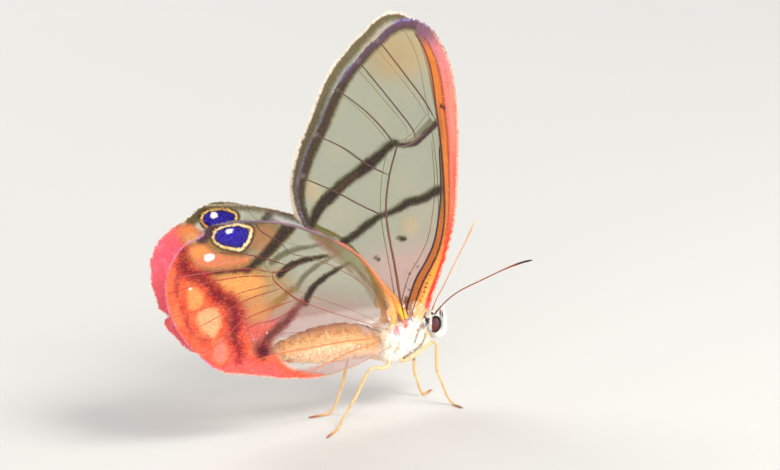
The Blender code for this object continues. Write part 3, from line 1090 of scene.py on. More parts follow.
    def fringe(self, side: Side) -> Form:
        """A narrow strip along the outer rim, as a ground for the fringe.

        Args:
            side: which wing.

        Returns:
            The form.
        """
        rim = np.vstack([self.rim, self.rim[:1]])
        out = np.gradient(rim, axis=0)
        out = unit(np.stack([out[:, 1], -out[:, 0]], 1), TINY)
        if inside(rim[:1] + out[:1] * 0.2, self.rim)[0]:
            out = -out
        inner = rim - out * self.fringe_base
        thick = (self.fringe_half, -self.fringe_half)
        points = np.vstack([self.raised(line, side, away) for line in (rim, inner) for away in thick])
        count = len(rim)
        faces = []
        for i in range(count - 1):
            faces.append((i, i + 1, 2 * count + i + 1, 2 * count + i))
            faces.append((count + i, 3 * count + i, 3 * count + i + 1, count + i + 1))
        lie = np.column_stack([out[:, 0], np.zeros(count), out[:, 1]])
        angle = np.linspace(-pi + 0.01, pi - 0.01, count)
        heights = (0.2, 0.4, 0.6, 0.8)
        wraps = [np.column_stack([np.cos(angle), np.sin(angle), np.full(count, h)]) for h in heights]
        paint, density = self.fringe_colours(self.moved(rim, -1), side)
        paint = np.tile(np.column_stack([paint, np.ones(count)]), (4, 1))
        return Form(points, faces, paint, np.tile(lie, (4, 1)), np.vstack(wraps), np.tile(density, 4))

    def fringe_colours(self, rim: Array, side: Side) -> tuple[Array, Array]:
        """Colour and density of the fringe along the rim."""
        raise NotImplementedError

    def build(self, bench: Bench) -> None:
        """Makes the membrane, veins, scales and fringe of the wings on its sides.

        Args:
            bench: what it is made with.
        """
        palette, blades = bench.palette, bench.blades
        for side in self.sides:
            node = f"{self.name}_{side.name.lower()}"
            paint = self.faces(side)
            slab = self.slab(side, paint).mesh(node)
            add_piece(f"{node}_membrane", slab, palette.membrane, [node])
            add_piece(f"{node}_veins", self.tubes(side).mesh(node), palette.vein)
            seed = 20 + side.value
            bench.cover(
                f"{node}_scales", self.scaled(side, paint), blades.scale, palette.scale, self.slot,
                Count_per_mm2=self.scales_per_mm2, Length=0.17, Lift=0.16, Lift_spread=0.08,
                Swing=0.25, Seed=seed,
            )
            bench.cover(
                f"{node}_fringe", self.fringe(side), blades.hair, palette.fringe, self.slot,
                Count_per_mm2=self.hairs_per_mm2, Length=self.fringe_length, Lift=0.02,
                Lift_spread=0.14, Swing=0.16, Seed=seed + 5,
            )


COSTA = (
    (2.7, 9.9), (3.1, 11.1), (4.9, 14.9), (6.2, 18.7), (6.9, 22.7), (7.5, 28.1), (7.5, 34.1), (6.2, 38.0),
    (4.6, 39.6),
)
SUBCOSTA = ((0.4, 10.4), (1.5, 13.1), (2.8, 14.9), (3.8, 16.6), (4.5, 18.9), (5.1, 22.0), (5.4, 26.5))
RADIUS = (
    (1.0, 10.0), (2.1, 12.5), (3.4, 14.4), (4.3, 16.0), (5.0, 18.2), (5.4, 21.2), (5.6, 26.0), (5.5, 31.0),
    (5.4, 34.3), (4.95, 36.6), (4.2, 38.4),
)


class Forewing(Wing):
    """The forewings: clear, with smoky bands, a dark rim and a red and orange front edge."""

    def painted(self, flat: Array, side: Side) -> Array:
        """The colours and opacity at places of the wing's plane.

        Args:
            flat: places on the wing.
            side: which wing.

        Returns:
            The colours and opacity.
        """
        art = Painter(flat, "707838", 0.21)
        low = step(19.5, 14.0, flat[:, 1] - 0.25 * flat[:, 0] + 0.8 * grain(flat, 2.5, 6))
        art.lay(low, "a8684a", 0.2)
        art.lay(0.4 * step(0.1, 0.8, grain(flat, 2.2, 9)), "9a8440")
        art.spot((2.4, 36.4), (3.0, 2.4), "b8903c", 0.35, 0.6, 0.7)
        art.spot((1.7, 18.9), (0.8, 0.9), "c9a050", 0.3, 0.7, 0.6)
        art.spot((-8.0, 24.4), (0.7, 1.1), "c9a050", 0.3, 0.7, 0.6)
        self.bands(art, *((0.8, 0.5) if side is Side.LEFT else (1.0, 0.92)))
        self.margin(art, side)
        self.costa(art, side)
        return art.colours()

    def bands(self, art: Painter, share: float, alpha: float) -> None:
        """Paints the smoky bands, with their widths times share and this opacity.

        Args:
            art: the painter.
            share: the share of their width.
            alpha: its opacity.
        """
        dusk, edge = "2b2610", "4a4320"
        places = art.places
        art.places = places + ((-0.35, 0.3) if share < 1 else (0.0, 0.0))
        outer = (
            (-8.8, 20.7), (-8.2, 21.8), (-7.4, 22.8), (-5.7, 24.0), (-4.7, 24.7), (-2.7, 25.7),
            (-1.4, 26.4), (0.1, 27.4), (0.9, 27.8),
        )
        widths = np.array((0.3, 0.5, 0.62, 0.52, 0.5, 0.62, 0.42, 0.3)) * share
        art.line(outer, widths + 0.12, edge, 0.6 * alpha, 0.25, 0.8)
        art.line(outer, widths - 0.04, dusk, alpha, 0.18)
        art.line(((-5.6, 24.1), (-4.5, 24.8), (-3.4, 25.3)), 0.16 * share, "5c4420", alpha, 0.4, 0.5)
        inner = (
            (-5.6, 18.6), (-4.2, 19.1), (-2.8, 19.9), (-1.5, 20.5), (-0.8, 20.6), (0.5, 20.9), (1.7, 21.4),
            (3.2, 21.5), (4.9, 22.1),
        )
        widths = np.array((0.3, 0.36, 0.38, 0.22, 0.3, 0.4, 0.38, 0.42)) * share
        art.line(inner, widths + 0.12, edge, 0.55 * alpha, 0.25, 0.8)
        art.line(inner, widths - 0.04, dusk, alpha, 0.2)
        bar = ((1.0, 27.5), (2.1, 27.3), (3.1, 27.4), (3.9, 28.0), (5.2, 28.9))
        art.line(bar, np.array((0.18, 0.24, 0.3, 0.32)) * share, "3a2c26", alpha, 0.14)
        # Painted highlight: a grey-white line just above the dark bar, on the right wing only.
        if share == 1.0:
            art.line(((1.4, 27.85), (2.6, 27.75), (3.6, 28.2)), 0.09, "9a8c80", 0.8, 0.08, 0.8)
        art.spot((0.7, 17.7), (0.4, 0.2), "23240f", 0.8, 0.6)
        art.spot((-2.1, 16.1), (0.2, 0.16), "2c2a12", 0.7, 0.6)
        for centre in ((1.0, 14.0), (1.9, 14.6), (0.8, 12.3), (-4.9, 14.4)):
            art.spot(centre, (0.12, 0.1), "5a3a20", 0.6, 0.6, 0.8 if share == 1.0 else 0.2)
        art.places = places

    def margin(self, art: Painter, side: Side) -> None:
        """Paints the dark outer rim with a thin violet painted highlight along its edge; on the left wing the
        rim is browner and its edge is a pale painted highlight.

        Args:
            art: the painter.
            side: which wing.
        """
        rim = (
            (5.6, 38.9), (4.1, 39.9), (2.1, 39.9), (-0.2, 38.5), (-2.1, 37.0), (-4.5, 34.6), (-6.8, 30.9),
            (-8.3, 28.5), (-9.5, 25.6), (-9.7, 23.2), (-9.2, 21.0),
        )
        if side is Side.LEFT:
            art.line(rim, (0.7, 0.9, 1.1, 1.15, 1.1, 1.1, 1.1, 0.9, 0.7, 0.5), "6a6038", 0.76, 0.4)
            art.line(rim, 0.3, "6a5c3c", 0.85, 0.15, 0.8)
            # Painted highlight: a pale cream line along the left wing's rim, as if lit.
            art.line(rim, 0.2, "f8e6d2", 1.0, 0.05, 0.95)
            return
        widths = np.array((0.9, 0.9, 0.8, 0.8, 0.9, 0.95, 0.98, 0.85, 0.62, 0.5))
        art.line(rim, widths + 0.1, "3e3420", 0.85, 0.3)
        art.line(rim, widths - 0.15, "3e341c", 0.96, 0.3)
        art.line(rim[:6], (0.75, 0.75, 0.7, 0.4, 0.1), "64485a", 0.96, 0.45, 0.75)
        for x, z in ((0.3, 38.4), (-1.9, 36.7), (-4.4, 34.2), (-7.1, 30.1), (-8.9, 26.2)):
            art.spot((x - 0.1, z), (0.24, 0.2), "7a6e72", 0.96, 0.7, 0.7)
        # Painted highlight: a thin violet line along the rim's edge, stronger towards the apex.
        art.line(rim, 0.05, "9a94b8", 1.0, 0.06, 0.55)
        art.line(rim[1:6], 0.07, "8c86c6", 1.0, 0.07, 0.8)

    def costa(self, art: Painter, side: Side) -> None:
        """Paints the front edge: red outside, orange within, between the first veins.

        Args:
            art: the painter.
            side: which wing.
        """
        flat = art.places
        edge = smooth_line(COSTA, 60)
        line = smooth_line(RADIUS, 60)
        wide = depth_in(flat, np.vstack([edge, smooth_line(SUBCOSTA, 40)[::-1]]))
        whole = depth_in(flat, np.vstack([edge, line[::-1]]))
        out, _ = nearest(flat, edge)
        back, _ = nearest(flat, line)
        z = flat[:, 1]
        tip = step(39.2, 37.0, z)
        part = out / (out + back + TINY)
        streak = 0.5 + 0.5 * grain(np.stack([part * 9, z / 5], 1), 1.0, 12)
        low = step(24.0, 18.0, z) * (side is Side.RIGHT)
        art.lay(step(-0.1, 0.1, wide) * low, "a85f22", 0.93)
        narrow = (0.3 + 0.5 * step(20.0, 31.0, z)) * (side is Side.LEFT)
        cover = step(-0.06, 0.06, whole - narrow) * tip
        art.lay(cover, "c46a24", 0.97)
        art.lay(cover * 0.6 * streak, "cf8030")
        art.lay(cover * step(0.6, 0.9, streak) * step(14.0, 18.0, z) * 0.6, "6e3414")
        art.lay(cover * step(0.95, 0.7, part) * step(17.5, 13.0, z), "f09a34")
        art.lay(cover * step(0.85, 0.4, part) * step(14.0, 11.0, z) * 0.85, "f4b266")
        most = 0.4 + 0.2 * step(12.5, 17.0, z)
        red = cover * step(0.0, -0.08, part - most)
        art.lay(red * step(10.0, 12.0, z + part), "e4543a", 0.98)
        art.lay(red * step(19.0, 28.0, z), "d86a5c")
        art.lay(red * 0.6 * streak * step(15, 19, z), "e49a80")
        art.lay(red * 0.4 * step(0.5, 0.2, streak) * step(19, 26, z), "b85a50")
        art.lay(cover * np.exp(-(((part - 0.62) / 0.05) ** 2)) * step(15, 19, z) * 0.8, "6a2018")
        self.base(art, side)
        bright = cover * step(0.02, 0.09, part) * step(-0.03, -0.14, part - most) * step(20.5, 16.5, z)
        bright *= step(9.75, 10.3, z)
        art.lay(bright, "e03220", 0.98)
        art.lay(bright * step(0.3, 0.8, streak) * 0.6, "ec5634")
        art.lay(bright * step(10.9, 10.1, z), "ee4c62")
        full = step(-0.06, 0.06, whole - narrow) * step(40.0, 39.2, z)
        art.lay(full * step(0.06, -0.06, part - 0.6) * step(31.5, 36.5, z) * 0.85, "c4787c", 0.97)
        art.lay(full * step(36.2, 38.6, z) * 0.95, "70505f", 0.97)
        art.lay(step(0.15, 0.06, out + art.wander * 0.5) * step(-0.12, 0.03, whole) * tip, "eec4a4", 1.0)
        dots = (
            (1.83, 10.9), (2.08, 11.35), (2.3, 11.78), (2.52, 12.2), (2.72, 12.6), (2.92, 13.0),
            (3.12, 13.4),
        )
        for place in dots:
            art.spot(place, (0.12, 0.09), "5a3410", soft=0.4)
        art.spot((6.0, 30.6), (0.16, 0.24), "3a1c10", soft=0.5)
        art.spot((6.3, 30.4), (0.1, 0.3), "50202a", soft=0.5)

    def base(self, art: Painter, side: Side) -> None:
        """Paints the pale streaked scales at the root, the yellow ones along the rear edge, and a small
        painted highlight.

        Args:
            art: the painter.
            side: which wing.
        """
        x, z = art.places.T
        rough = 0.3 * grain(art.places, 0.5, 14)
        pale = step(1.25, 0.7, np.hypot((x - 1.45) / 1.2, (z - 9.45) / 1.25) + rough)
        strand = grain(np.stack([(x * 0.79 - z * 0.61) * 6, z * 0.9], 1), 1.0, 15)
        art.lay(pale, "f4b88a", 1.0)
        art.lay(pale * step(-0.05, 0.4, strand), "fce8d0")
        art.lay(pale * step(-0.15, -0.7, strand) * 0.7, "f4ae62")
        art.line(((0.7, 9.3), (0.8, 10.3), (0.95, 10.9)), (0.26, 0.22, 0.1), "8a6a60", 1.0, 0.12, 0.9)
        rear = ((0.3, 9.0), (-0.1, 10.0), (-0.75, 11.4), (-1.5, 12.7), (-2.6, 14.6))
        art.line(rear, (0.42, 0.42, 0.3, 0.2, 0.08), "f2a048", 1.0, 0.16)
        art.line(rear[:3], (0.24, 0.2, 0.05), "f8c83c", 1.0, 0.16)
        # Painted highlight: a small white glint on the root scales.
        art.spot((0.12, 10.75), (0.09, 0.2), "fffaf0", 1.0, 0.4)
        if side is Side.RIGHT:
            art.line(((2.6, 9.85), (2.3, 9.5), (2.0, 9.05)), 0.08, "1c120c", 1.0, 0.05)

    def fringe_colours(self, rim: Array, side: Side) -> tuple[Array, Array]:
        """Colour and density of the fringe along the rim, painted pale on the left wing as if lit.

        Args:
            rim: places along the rim.
            side: which wing.

        Returns:
            The colours, and the densities.
        """
        outer = step(3.2, 1.2, rim[:, 0]) * step(19.5, 22.0, rim[:, 1])
        # Painted light: the left wing's outer fringe is pale cream as if lit; the right one's is dark violet
        # grey.
        tone = tint("f8ead8" if side is Side.LEFT else "4c4450")
        mix = outer[:, None] * tone + (1 - outer[:, None]) * tint("e0a080")
        return mix, 0.04 + 0.96 * outer


class Hindwing(Wing):
    """The hindwings: clear at the root, rosy outside, with a ringed eyespot near the upper corner."""

    def painted(self, flat: Array, side: Side) -> Array:
        """The colours and opacity at places of the wing's plane.

        Args:
            flat: places on the wing.
            side: which wing.

        Returns:
            The colours and opacity.
        """
        art = Painter(flat, "76783a", 0.2)
        low = step(15.5, 11.5, flat[:, 1] + 0.35 * (flat[:, 0] + 9) + 0.7 * grain(flat, 2.5, 6))
        art.lay(low, "9c6c5c", 0.3)
        art.lay(0.4 * step(0.1, 0.8, grain(flat, 1.8, 9)), "a09048")
        over = step(10.6, 9.9, flat[:, 1]) * step(-14.6, -13.4, flat[:, 0])
        art.lay(over * step(6.4, 7.1, flat[:, 1]), "e4c8a4", 0.05)
        art.lay(over * step(7.2, 6.6, flat[:, 1]), "b08478", 0.3)
        self.warm(art, side is Side.RIGHT)
        self.bands(art, *((0.85, 0.6) if side is Side.LEFT else (1.0, 0.92)))
        self.rosy(art)
        self.speckle(art)
        if side is Side.LEFT:
            self.far_face(art)
        self.eyespot(art, side)
        self.edge(art, side)
        return art.colours()

    def faces(self, side: Side) -> Array:
        """The colours of both faces: the left wing's outer one has the right wing's markings.

        Args:
            side: which wing.

        Returns:
            The colours.
        """
        paint = super().faces(side)
        if side is Side.LEFT:
            outer = self.painted(self.moved(self.flat, -1), Side.RIGHT)
            count = len(outer)
            solid = np.minimum(outer[:, 3], paint[count:, 3]) > 0.85
            paint[:count][solid] = outer[solid]
        return paint

    def warm(self, art: Painter, warm: bool) -> None:
        """Paints the olive and orange glow between the middle and the rosy part.

        Args:
            art: the painter.
            warm: whether it glows.
        """
        art.spot((-14.0, 15.3), (2.4, 2.0), "b58c42", 0.45, 0.7, 0.8)
        art.spot(
            (-14.0, 20.9), (1.7, 1.6), "a5754a" if warm else "82803c", 0.72 if warm else 0.4, 0.45, 0.9
        )
        art.patch(
            ((-16.0, 18.0), (-19.8, 18.2), (-20.4, 17.4), (-18.6, 15.6), (-16.4, 15.0), (-14.8, 15.6),
                (-14.4, 16.8)), "e09c54", 0.8, 1.0,
        )
        art.spot((-15.6, 13.6), (1.5, 1.3), "d09050", 0.66, 0.7, 0.9)
        art.patch(
            ((-15.6, 12.5), (-17.2, 12.6), (-17.0, 11.6), (-16.6, 10.6), (-14.8, 11.0), (-13.4, 12.3)),
            "cf5a48", 0.84, 0.6, 0.9,
        )

    def bands(self, art: Painter, share: float, alpha: float) -> None:
        """Paints the smoky bands, with their widths times share and this opacity.

        Args:
            art: the painter.
            share: the share of their width.
            alpha: its opacity.
        """
        dusk, deep = "3a3216", "2a220e"
        broad = ((-10.6, 22.4), (-11.4, 21.5), (-12.4, 20.6), (-13.7, 19.5), (-14.9, 18.7), (-16.0, 18.1))
        if share < 1:
            art.line(((-12.3, 22.2), (-12.9, 21.3), (-14.0, 20.3)), 0.4, dusk, 0.7, 0.3)
            broad = broad[2:]
        art.line(broad, np.array((0.8, 0.75, 0.62, 0.52, 0.45, 0.35)) * share, dusk, alpha, 0.26)
        art.line(broad, np.array((0.5, 0.45, 0.4, 0.3, 0.25)) * share, deep, alpha, 0.3, 0.7)
        art.line(((-15.9, 18.1), (-18.0, 18.3), (-20.4, 18.6)), (0.25, 0.2, 0.3), "5c2a14", 0.95, 0.2)
        second = ((-7.6, 17.9), (-10.0, 17.9), (-11.5, 17.6), (-12.8, 16.9))
        art.line(second, np.array((0.14, 0.3, 0.38)) * share, deep, alpha, 0.16)
        fourth = ((-5.6, 16.7), (-8.2, 15.7), (-9.7, 14.7), (-10.4, 13.5))
        art.line(fourth, np.array((0.12, 0.3, 0.36)) * share, deep, alpha, 0.18)
        art.line(
            ((-4.5, 15.5), (-3.5, 14.1), (-2.8, 12.5), (-1.9, 10.6)), (0.08, 0.14, 0.16), "6c5034", 0.5,
            0.2, 0.8,
        )
        art.line(((-8.4, 19.4), (-5.8, 16.4), (-4.4, 14.5)), (0.35, 0.24, 0.16), "8a6650", 0.5, 0.25, 0.7)
        art.line(((-9.0, 20.3), (-7.5, 19.1), (-6.4, 18.0)), (0.3, 0.4, 0.3), "8a5a40", 0.6, 0.3, 0.7)

    def rosy(self, art: Painter) -> None:
        """Paints the rosy outer part with its pale windows and maroon cloud.

        Args:
            art: the painter.
        """
        flat = art.places
        zone = (
            (-21.4, 22.6), (-22.0, 20.8), (-21.0, 19.2), (-20.2, 18.2), (-18.6, 16.3), (-17.3, 14.4),
            (-17.0, 12.4), (-16.6, 10.6), (-15.8, 9.0), (-14.2, 8.9), (-13.5, 8.0), (-12.6, 7.1),
            (-11.0, 6.3), (-9.4, 5.7), (-9.4, 4.6), (-18.0, 5.0), (-24.0, 7.0), (-27.0, 14.0),
            (-26.5, 20.0), (-23.5, 23.5),
        )
        depth = art.patch(zone, "e3592f", 0.96, 0.35)
        blotch = grain(flat, 0.9, 32)
        zoned = step(0.0, 0.5, depth)
        art.lay(zoned * step(0.0, 0.9, blotch) * 0.7, "ee8850")
        art.lay(zoned * step(-0.2, -1.0, blotch) * 0.6, "d44430")
        art.lay(step(0.1, 1.2, depth) * step(12.0, 8.5, flat[:, 1]) * 0.85, "e45c58")
        art.lay(
            step(-22.6, -23.4, flat[:, 0]) * step(0, 0.5, depth) * step(13.0, 15.0, flat[:, 1]) * 0.6,
            "ea6a3e",
        )
        windows = (
            (((-22.2, 17.3), (-21.2, 17.1), (-20.7, 16.2), (-21.2, 15.2), (-22.2, 15.3)), "ea9450"),
            (
                ((-21.7, 14.3), (-20.8, 14.95), (-19.45, 14.7), (-19.35, 13.1), (-20.2, 12.0), (-21.3, 12.9)),
                "eea270",
            ),
            (((-19.6, 11.6), (-19.0, 10.9), (-19.1, 9.3), (-20.3, 9.3), (-20.4, 10.4)), "e67c66"),
        )
        for loop, tone in windows:
            art.patch(loop, "e05a2a", 0.95, 0.35, grow=0.35)
            art.patch(loop, tone, 0.93, 0.32)
        cloud = (
            (-22.2, 21.2), (-22.3, 19.9), (-21.9, 19.0), (-20.7, 18.3), (-20.0, 17.4), (-19.1, 15.9),
            (-18.1, 15.0), (-17.7, 13.9), (-17.9, 12.6), (-18.2, 11.7), (-17.7, 10.2), (-17.9, 9.0),
        )
        rough = art.wander.copy()
        art.wander = rough * 3.6 + 0.16 * grain(flat, 0.13, 36)
        art.line(
            cloud, (0.6, 0.9, 0.85, 0.8, 0.9, 1.0, 1.15, 1.15, 0.95, 0.7, 0.4), "a82414", 0.97, 0.6, 0.85
        )
        art.line(
            cloud, (0.15, 0.45, 0.4, 0.3, 0.42, 0.5, 0.6, 0.55, 0.4, 0.2, 0.05), "621006", 0.97, 0.5, 0.85
        )
        under = (
            (-22.9, 19.9), (-23.1, 18.6), (-23.3, 17.7), (-23.2, 16.4), (-22.7, 14.3), (-22.1, 12.6),
            (-20.8, 11.7),
        )
        art.line(under, (0.3, 0.26, 0.2, 0.18, 0.24, 0.24, 0.26), "8a241c", 0.96, 0.3, 0.7)
        art.wander = rough * 2
        low = ((-10.8, 13.7), (-12.2, 12.4), (-13.7, 11.4), (-14.8, 10.7), (-15.5, 9.6))
        art.line(low, (0.3, 0.42, 0.5, 0.55, 0.5), "7a3c22", 0.93, 0.4, 0.85)
        art.line(low, (0.05, 0.15, 0.2, 0.25, 0.3), "4c2210", 0.95, 0.35, 0.8)
        art.spot((-15.4, 9.6), (0.75, 0.85), "8a2420", 0.96, 0.6)
        art.spot((-15.3, 9.5), (0.5, 0.6), "4a1414", 0.96, 0.7)
        art.wander = rough
        for x, z in ((-16.2, 10.95), (-15.9, 10.96), (-15.5, 11.05), (-15.15, 11.15), (-14.7, 11.3)):
            art.spot((x, z), (0.08, 0.06), "c8ccec", 1.0, 0.3)
        art.spot((-21.95, 17.35), (0.16, 0.1), "fbeee8", 1.0, 0.4)

    @staticmethod
    def speckle(art: Painter) -> None:
        """Lays fine lighter and darker scales over everything opaque.

        Args:
            art: the painter.
        """
        solid = step(0.6, 0.9, art.alpha)
        fine = grain(art.places, 0.11, 37)
        art.rgb *= 1 + 0.14 * (fine * solid)[:, None]
        rosy = solid * step(0.12, 0.3, art.rgb[:, 0])
        art.lay(rosy * step(0.35, 0.9, fine) * 0.2, "f4a880")
        art.lay(rosy * step(-0.35, -0.9, fine) * 0.14, "6a1c14")

    def far_face(self, art: Painter) -> None:
        """Paints the pink outer part of the left wing's visible inner face.

        Args:
            art: the painter.
        """
        flat = art.places
        far, _ = nearest(flat, np.vstack([self.rim, self.rim[:1]]))
        side = np.clip(
            step(-18.5, -20.5, flat[:, 0]) + step(10.5, 8.5, flat[:, 1]) * step(-12, -14, flat[:, 0]), 0, 1
        )
        pink = side * step(3.6, 2.6, far) * step(22.6, 20.8, flat[:, 1] + 0.4 * (flat[:, 0] + 22))
        art.lay(pink, "ee6674", 0.97)
        art.lay(pink * step(0.1, 0.8, grain(flat, 1.0, 39)) * 0.6, "ee6c60")
        art.lay(pink * step(0.2, 0.9, grain(flat, 0.5, 40)) * 0.4, "f690a0")

    def eyespot(self, art: Painter, side: Side) -> None:
        """Paints the ringed eyespot, the white spot by it and the brown round them.

        Args:
            art: the painter.
            side: which wing.
        """
        art.line(
            ((-20.2, 21.9), (-19.4, 22.7), (-18.0, 23.3), (-16.4, 23.3), (-14.6, 23.0), (-12.6, 22.6)),
            (0.5, 0.6, 0.5, 0.4, 0.35, 0.2), "5a5026" if side is Side.LEFT else "46302a", 0.93, 0.3,
        )
        art.patch(
            ((-21.5, 21.5), (-20.4, 21.5), (-18.8, 20.4), (-16.6, 19.6), (-15.4, 19.3), (-16.2, 18.8),
                (-18.8, 18.8), (-20.8, 19.3), (-21.4, 20.3)), "d07850", 0.9, 0.42,
        )
        art.spot((-20.6, 20.9), (0.9, 0.6), "e88c48", soft=0.6)
        art.spot((-17.4, 19.4), (1.4, 0.4), "c07a50", soft=0.6, strength=0.7)
        loop = (
            (-19.1, 21.9), (-19.02, 22.4), (-18.6, 22.8), (-17.9, 22.98), (-17.1, 23.0), (-16.3, 22.92),
            (-15.6, 22.68), (-15.0, 22.25), (-15.12, 21.4), (-15.65, 20.65), (-16.4, 20.15), (-17.4, 20.45),
            (-18.3, 20.88), (-18.85, 21.4),
        )
        pupil_at = (-17.3, 22.35)
        pale, gold = "ecd29c", "dcb070"
        if side is Side.LEFT:
            loop = [(-17.4 + 0.86 * (x + 17.0), 21.5 + 0.95 * (z - 21.55)) for x, z in loop]
            pupil_at, pale, gold = (-17.9, 22.25), "eec46c", "e0a03c"
        rough = art.wander.copy()
        art.wander = rough * 0.5
        depth = art.patch(loop, "2e1c10", 0.97, 0.2, grow=0.24)
        art.lay(step(-0.05, 0.04, depth), pale, 1.0)
        art.lay(step(0.0, 0.6, grain(art.places, 0.4, 31)) * step(-0.05, 0.04, depth), gold)
        low = 0.15 + 0.07 * step(21.4, 20.6, art.places[:, 1]) + 0.1 * step(-16.6, -15.2, art.places[:, 0])
        low *= 0.75 if side is Side.LEFT else 1.0
        art.lay(step(0.0, 0.07, depth - low), "140d2c", 1.0)
        pupil = step(0.08, 0.3, depth - low)
        art.lay(pupil, "1c1684", 1.0)
        art.lay(pupil * step(0.0, 0.7, grain(art.places, 0.2, 33)) * 0.8, "2a22ae")
        art.lay(pupil * step(0.4, 0.9, grain(art.places, 0.12, 34)) * 0.6, "5248cc")
        art.lay(pupil * step(1.1, 0.4, depth) * 0.4, "120c4c")
        art.spot(pupil_at, (0.36, 0.2) if side is Side.RIGHT else (0.34, 0.3), "ffffff", 1.0, 0.2)
        if side is Side.LEFT:
            art.spot((-20.3, 20.2), (0.75, 0.6), "e4a468", 1.0, 0.5)
        else:
            art.spot((-19.65, 20.1), (0.5, 0.36), "fffaf6", 1.0, 0.2)
        art.wander = rough

    def edge(self, art: Painter, side: Side) -> None:
        """Paints the rim: coral to violet grey in front, a lilac painted highlight outside on the right wing,
        and the pale inner edge.

        Args:
            art: the painter.
            side: which wing.
        """
        front = (
            (-1.0, 10.9), (-2.0, 13.5), (-4.3, 17.3), (-6.2, 19.1), (-9.0, 20.8), (-13.0, 22.6),
            (-18.9, 23.4),
        )
        if side is Side.LEFT:
            art.line(front[3:], (0.5, 0.6, 0.6, 0.3), "6a5c2c", 0.75, 0.3, 0.85)
            art.line(front[3:], 0.07, "b4a48c", 1.0, 0.07)
        else:
            art.line(front[3:], 0.16, "6a5c68", 1.0, 0.1)
        root = ((-1.35, 8.9), (-1.3, 10.4), (-1.5, 11.6), (-2.05, 13.4), (-3.0, 15.2), (-4.4, 17.2))
        art.line(root, (0.3, 0.34, 0.3, 0.24, 0.14, 0.05), "ec8c54", 1.0, 0.14)
        art.line(front[2:6], 0.1, "b0747c", 1.0, 0.08, 0.8)
        art.line(root[:4], (0.2, 0.2, 0.1, 0.05), "f8c468", 1.0, 0.14)
        art.line(front[:4], 0.1, "ee7058", 1.0, 0.08)
        art.spot((-1.75, 10.7), (0.35, 0.5), "f8bc88", 1.0, 0.5, 0.9)
        rim = (
            (-19.9, 22.7), (-20.4, 22.3), (-22.4, 21.6), (-24.2, 19.2), (-24.6, 16.6), (-23.85, 13.4),
            (-22.1, 10.5), (-19.8, 8.2),
        )
        # Painted highlight: a thin lilac line along the right wing's outer rim.
        if side is Side.RIGHT:
            art.line(rim, 0.06, "cc86bc", 1.0, 0.08, 0.8)
        art.line(((-19.8, 8.2), (-16.2, 7.1), (-13.0, 6.1), (-9.8, 5.6)), 0.12, "e08a78", 1.0, 0.1, 0.8)
        art.spot((-2.1, 8.2), (0.6, 0.6), "f6dcc4", 0.9, 0.6, 0.8)
        art.spot((-6.5, 6.5), (2.4, 0.8), "c0a498", 0.45, 0.6, 0.8)

    def fringe_colours(self, rim: Array, side: Side) -> tuple[Array, Array]:
        """Colour and density of the fringe along the rim, painted paler on the left wing as if lit.

        Args:
            rim: places along the rim.
            side: which wing.

        Returns:
            The colours, and the densities.
        """
        x, z = rim[:, 0], rim[:, 1]
        outer = step(-18.5, -20.5, x)
        under = step(10.0, 8.0, z) * step(-3.0, -7.0, x)
        # Painted light: the left wing's outer fringe is pale cream where the right one's is lilac, as if lit.
        lilac = tint("fae0c8" if side is Side.LEFT else "d8a0bc")
        mix = outer[:, None] * lilac + (1 - outer[:, None]) * tint("b8a890")
        mix = mix * (1 - under[:, None]) + under[:, None] * tint("f4b8a0")
        mix += (tint("c8a078") - mix) * (under * step(-11.0, -8.5, x))[:, None]
        return mix, np.clip(0.1 + (0.8 if side is Side.LEFT else 0.4) * outer + 0.9 * under, 0, 1)


FORE_OUTLINE = (
    (2.6, 9.8), *COSTA[1:8], (4.1, 39.8), (2.1, 39.8), (-2.1, 36.9), (-4.5, 34.5), (-6.8, 30.8),
    (-8.3, 28.5), (-9.5, 25.6), (-9.7, 23.2), (-9.2, 21.1), (-6.4, 17.7), (-3.8, 14.5), (-1.6, 10.9),
    (-0.4, 8.9), (0.5, 8.3), (1.6, 8.7),
)
FORE_RAYS = (
    ((-0.8, 20.3), (-3.5, 22.2), (-5.7, 23.9), (-9.1, 26.1)),
    ((-0.1, 24.6), (-2.2, 26.1), (-4.4, 28.2), (-7.3, 30.2)),
    ((1.0, 27.3), (-0.2, 29.4), (-2.0, 31.8), (-4.6, 34.4)),
    ((3.1, 27.6), (2.8, 28.9), (1.4, 31.3), (-2.0, 36.8)),
    ((5.3, 29.3), (4.4, 31.4), (3.0, 33.9), (0.3, 38.5)),
)
FORE_VEINS = (
    Vein(((0.7, 9.2), *SUBCOSTA), 0.12, 0.07, "3c2028", "3c2028"),
    Vein(((1.1, 9.2), *RADIUS), 0.12, 0.06, "3c2028", "5a2c2c"),
    Vein(((0.1, 9.2), (-0.2, 11.6), (-0.4, 14.5), (-0.8, 20.3), (-0.2, 24.1), (1.0, 27.3)), 0.13, 0.08,
        "80483a", "563a34"),
    *(Vein(ray, 0.075, 0.055, "563a34", "563a34") for ray in FORE_RAYS),
    Vein(((1.0, 27.3), (2.1, 27.3), (3.1, 27.6), (4.2, 28.4), (5.4, 29.4)), 0.07, 0.06, "7a5a60", "563a34"),
    Vein(
        ((-0.4, 10.7), (-1.3, 12.5), (-2.7, 14.9), (-4.3, 17.0), (-6.4, 18.9), (-9.0, 21.0)),
        0.11, 0.06, "f09a48", "70484a",
    ),
)
RUST = "8c3426"
HIND_OUTLINE = (
    (-1.0, 10.5), (-2.1, 13.5), (-4.3, 17.2), (-7.3, 19.8), (-11.2, 21.9), (-15.0, 23.0), (-18.9, 23.3),
    (-20.3, 22.4), (-22.4, 21.5), (-24.1, 19.2), (-24.5, 16.6), (-23.75, 13.4), (-22.0, 10.6), (-19.8, 8.3),
    (-16.2, 7.2), (-13.0, 6.2), (-9.8, 5.7), (-6.5, 6.0), (-3.2, 6.8), (-1.9, 7.4), (-1.3, 8.6),
)
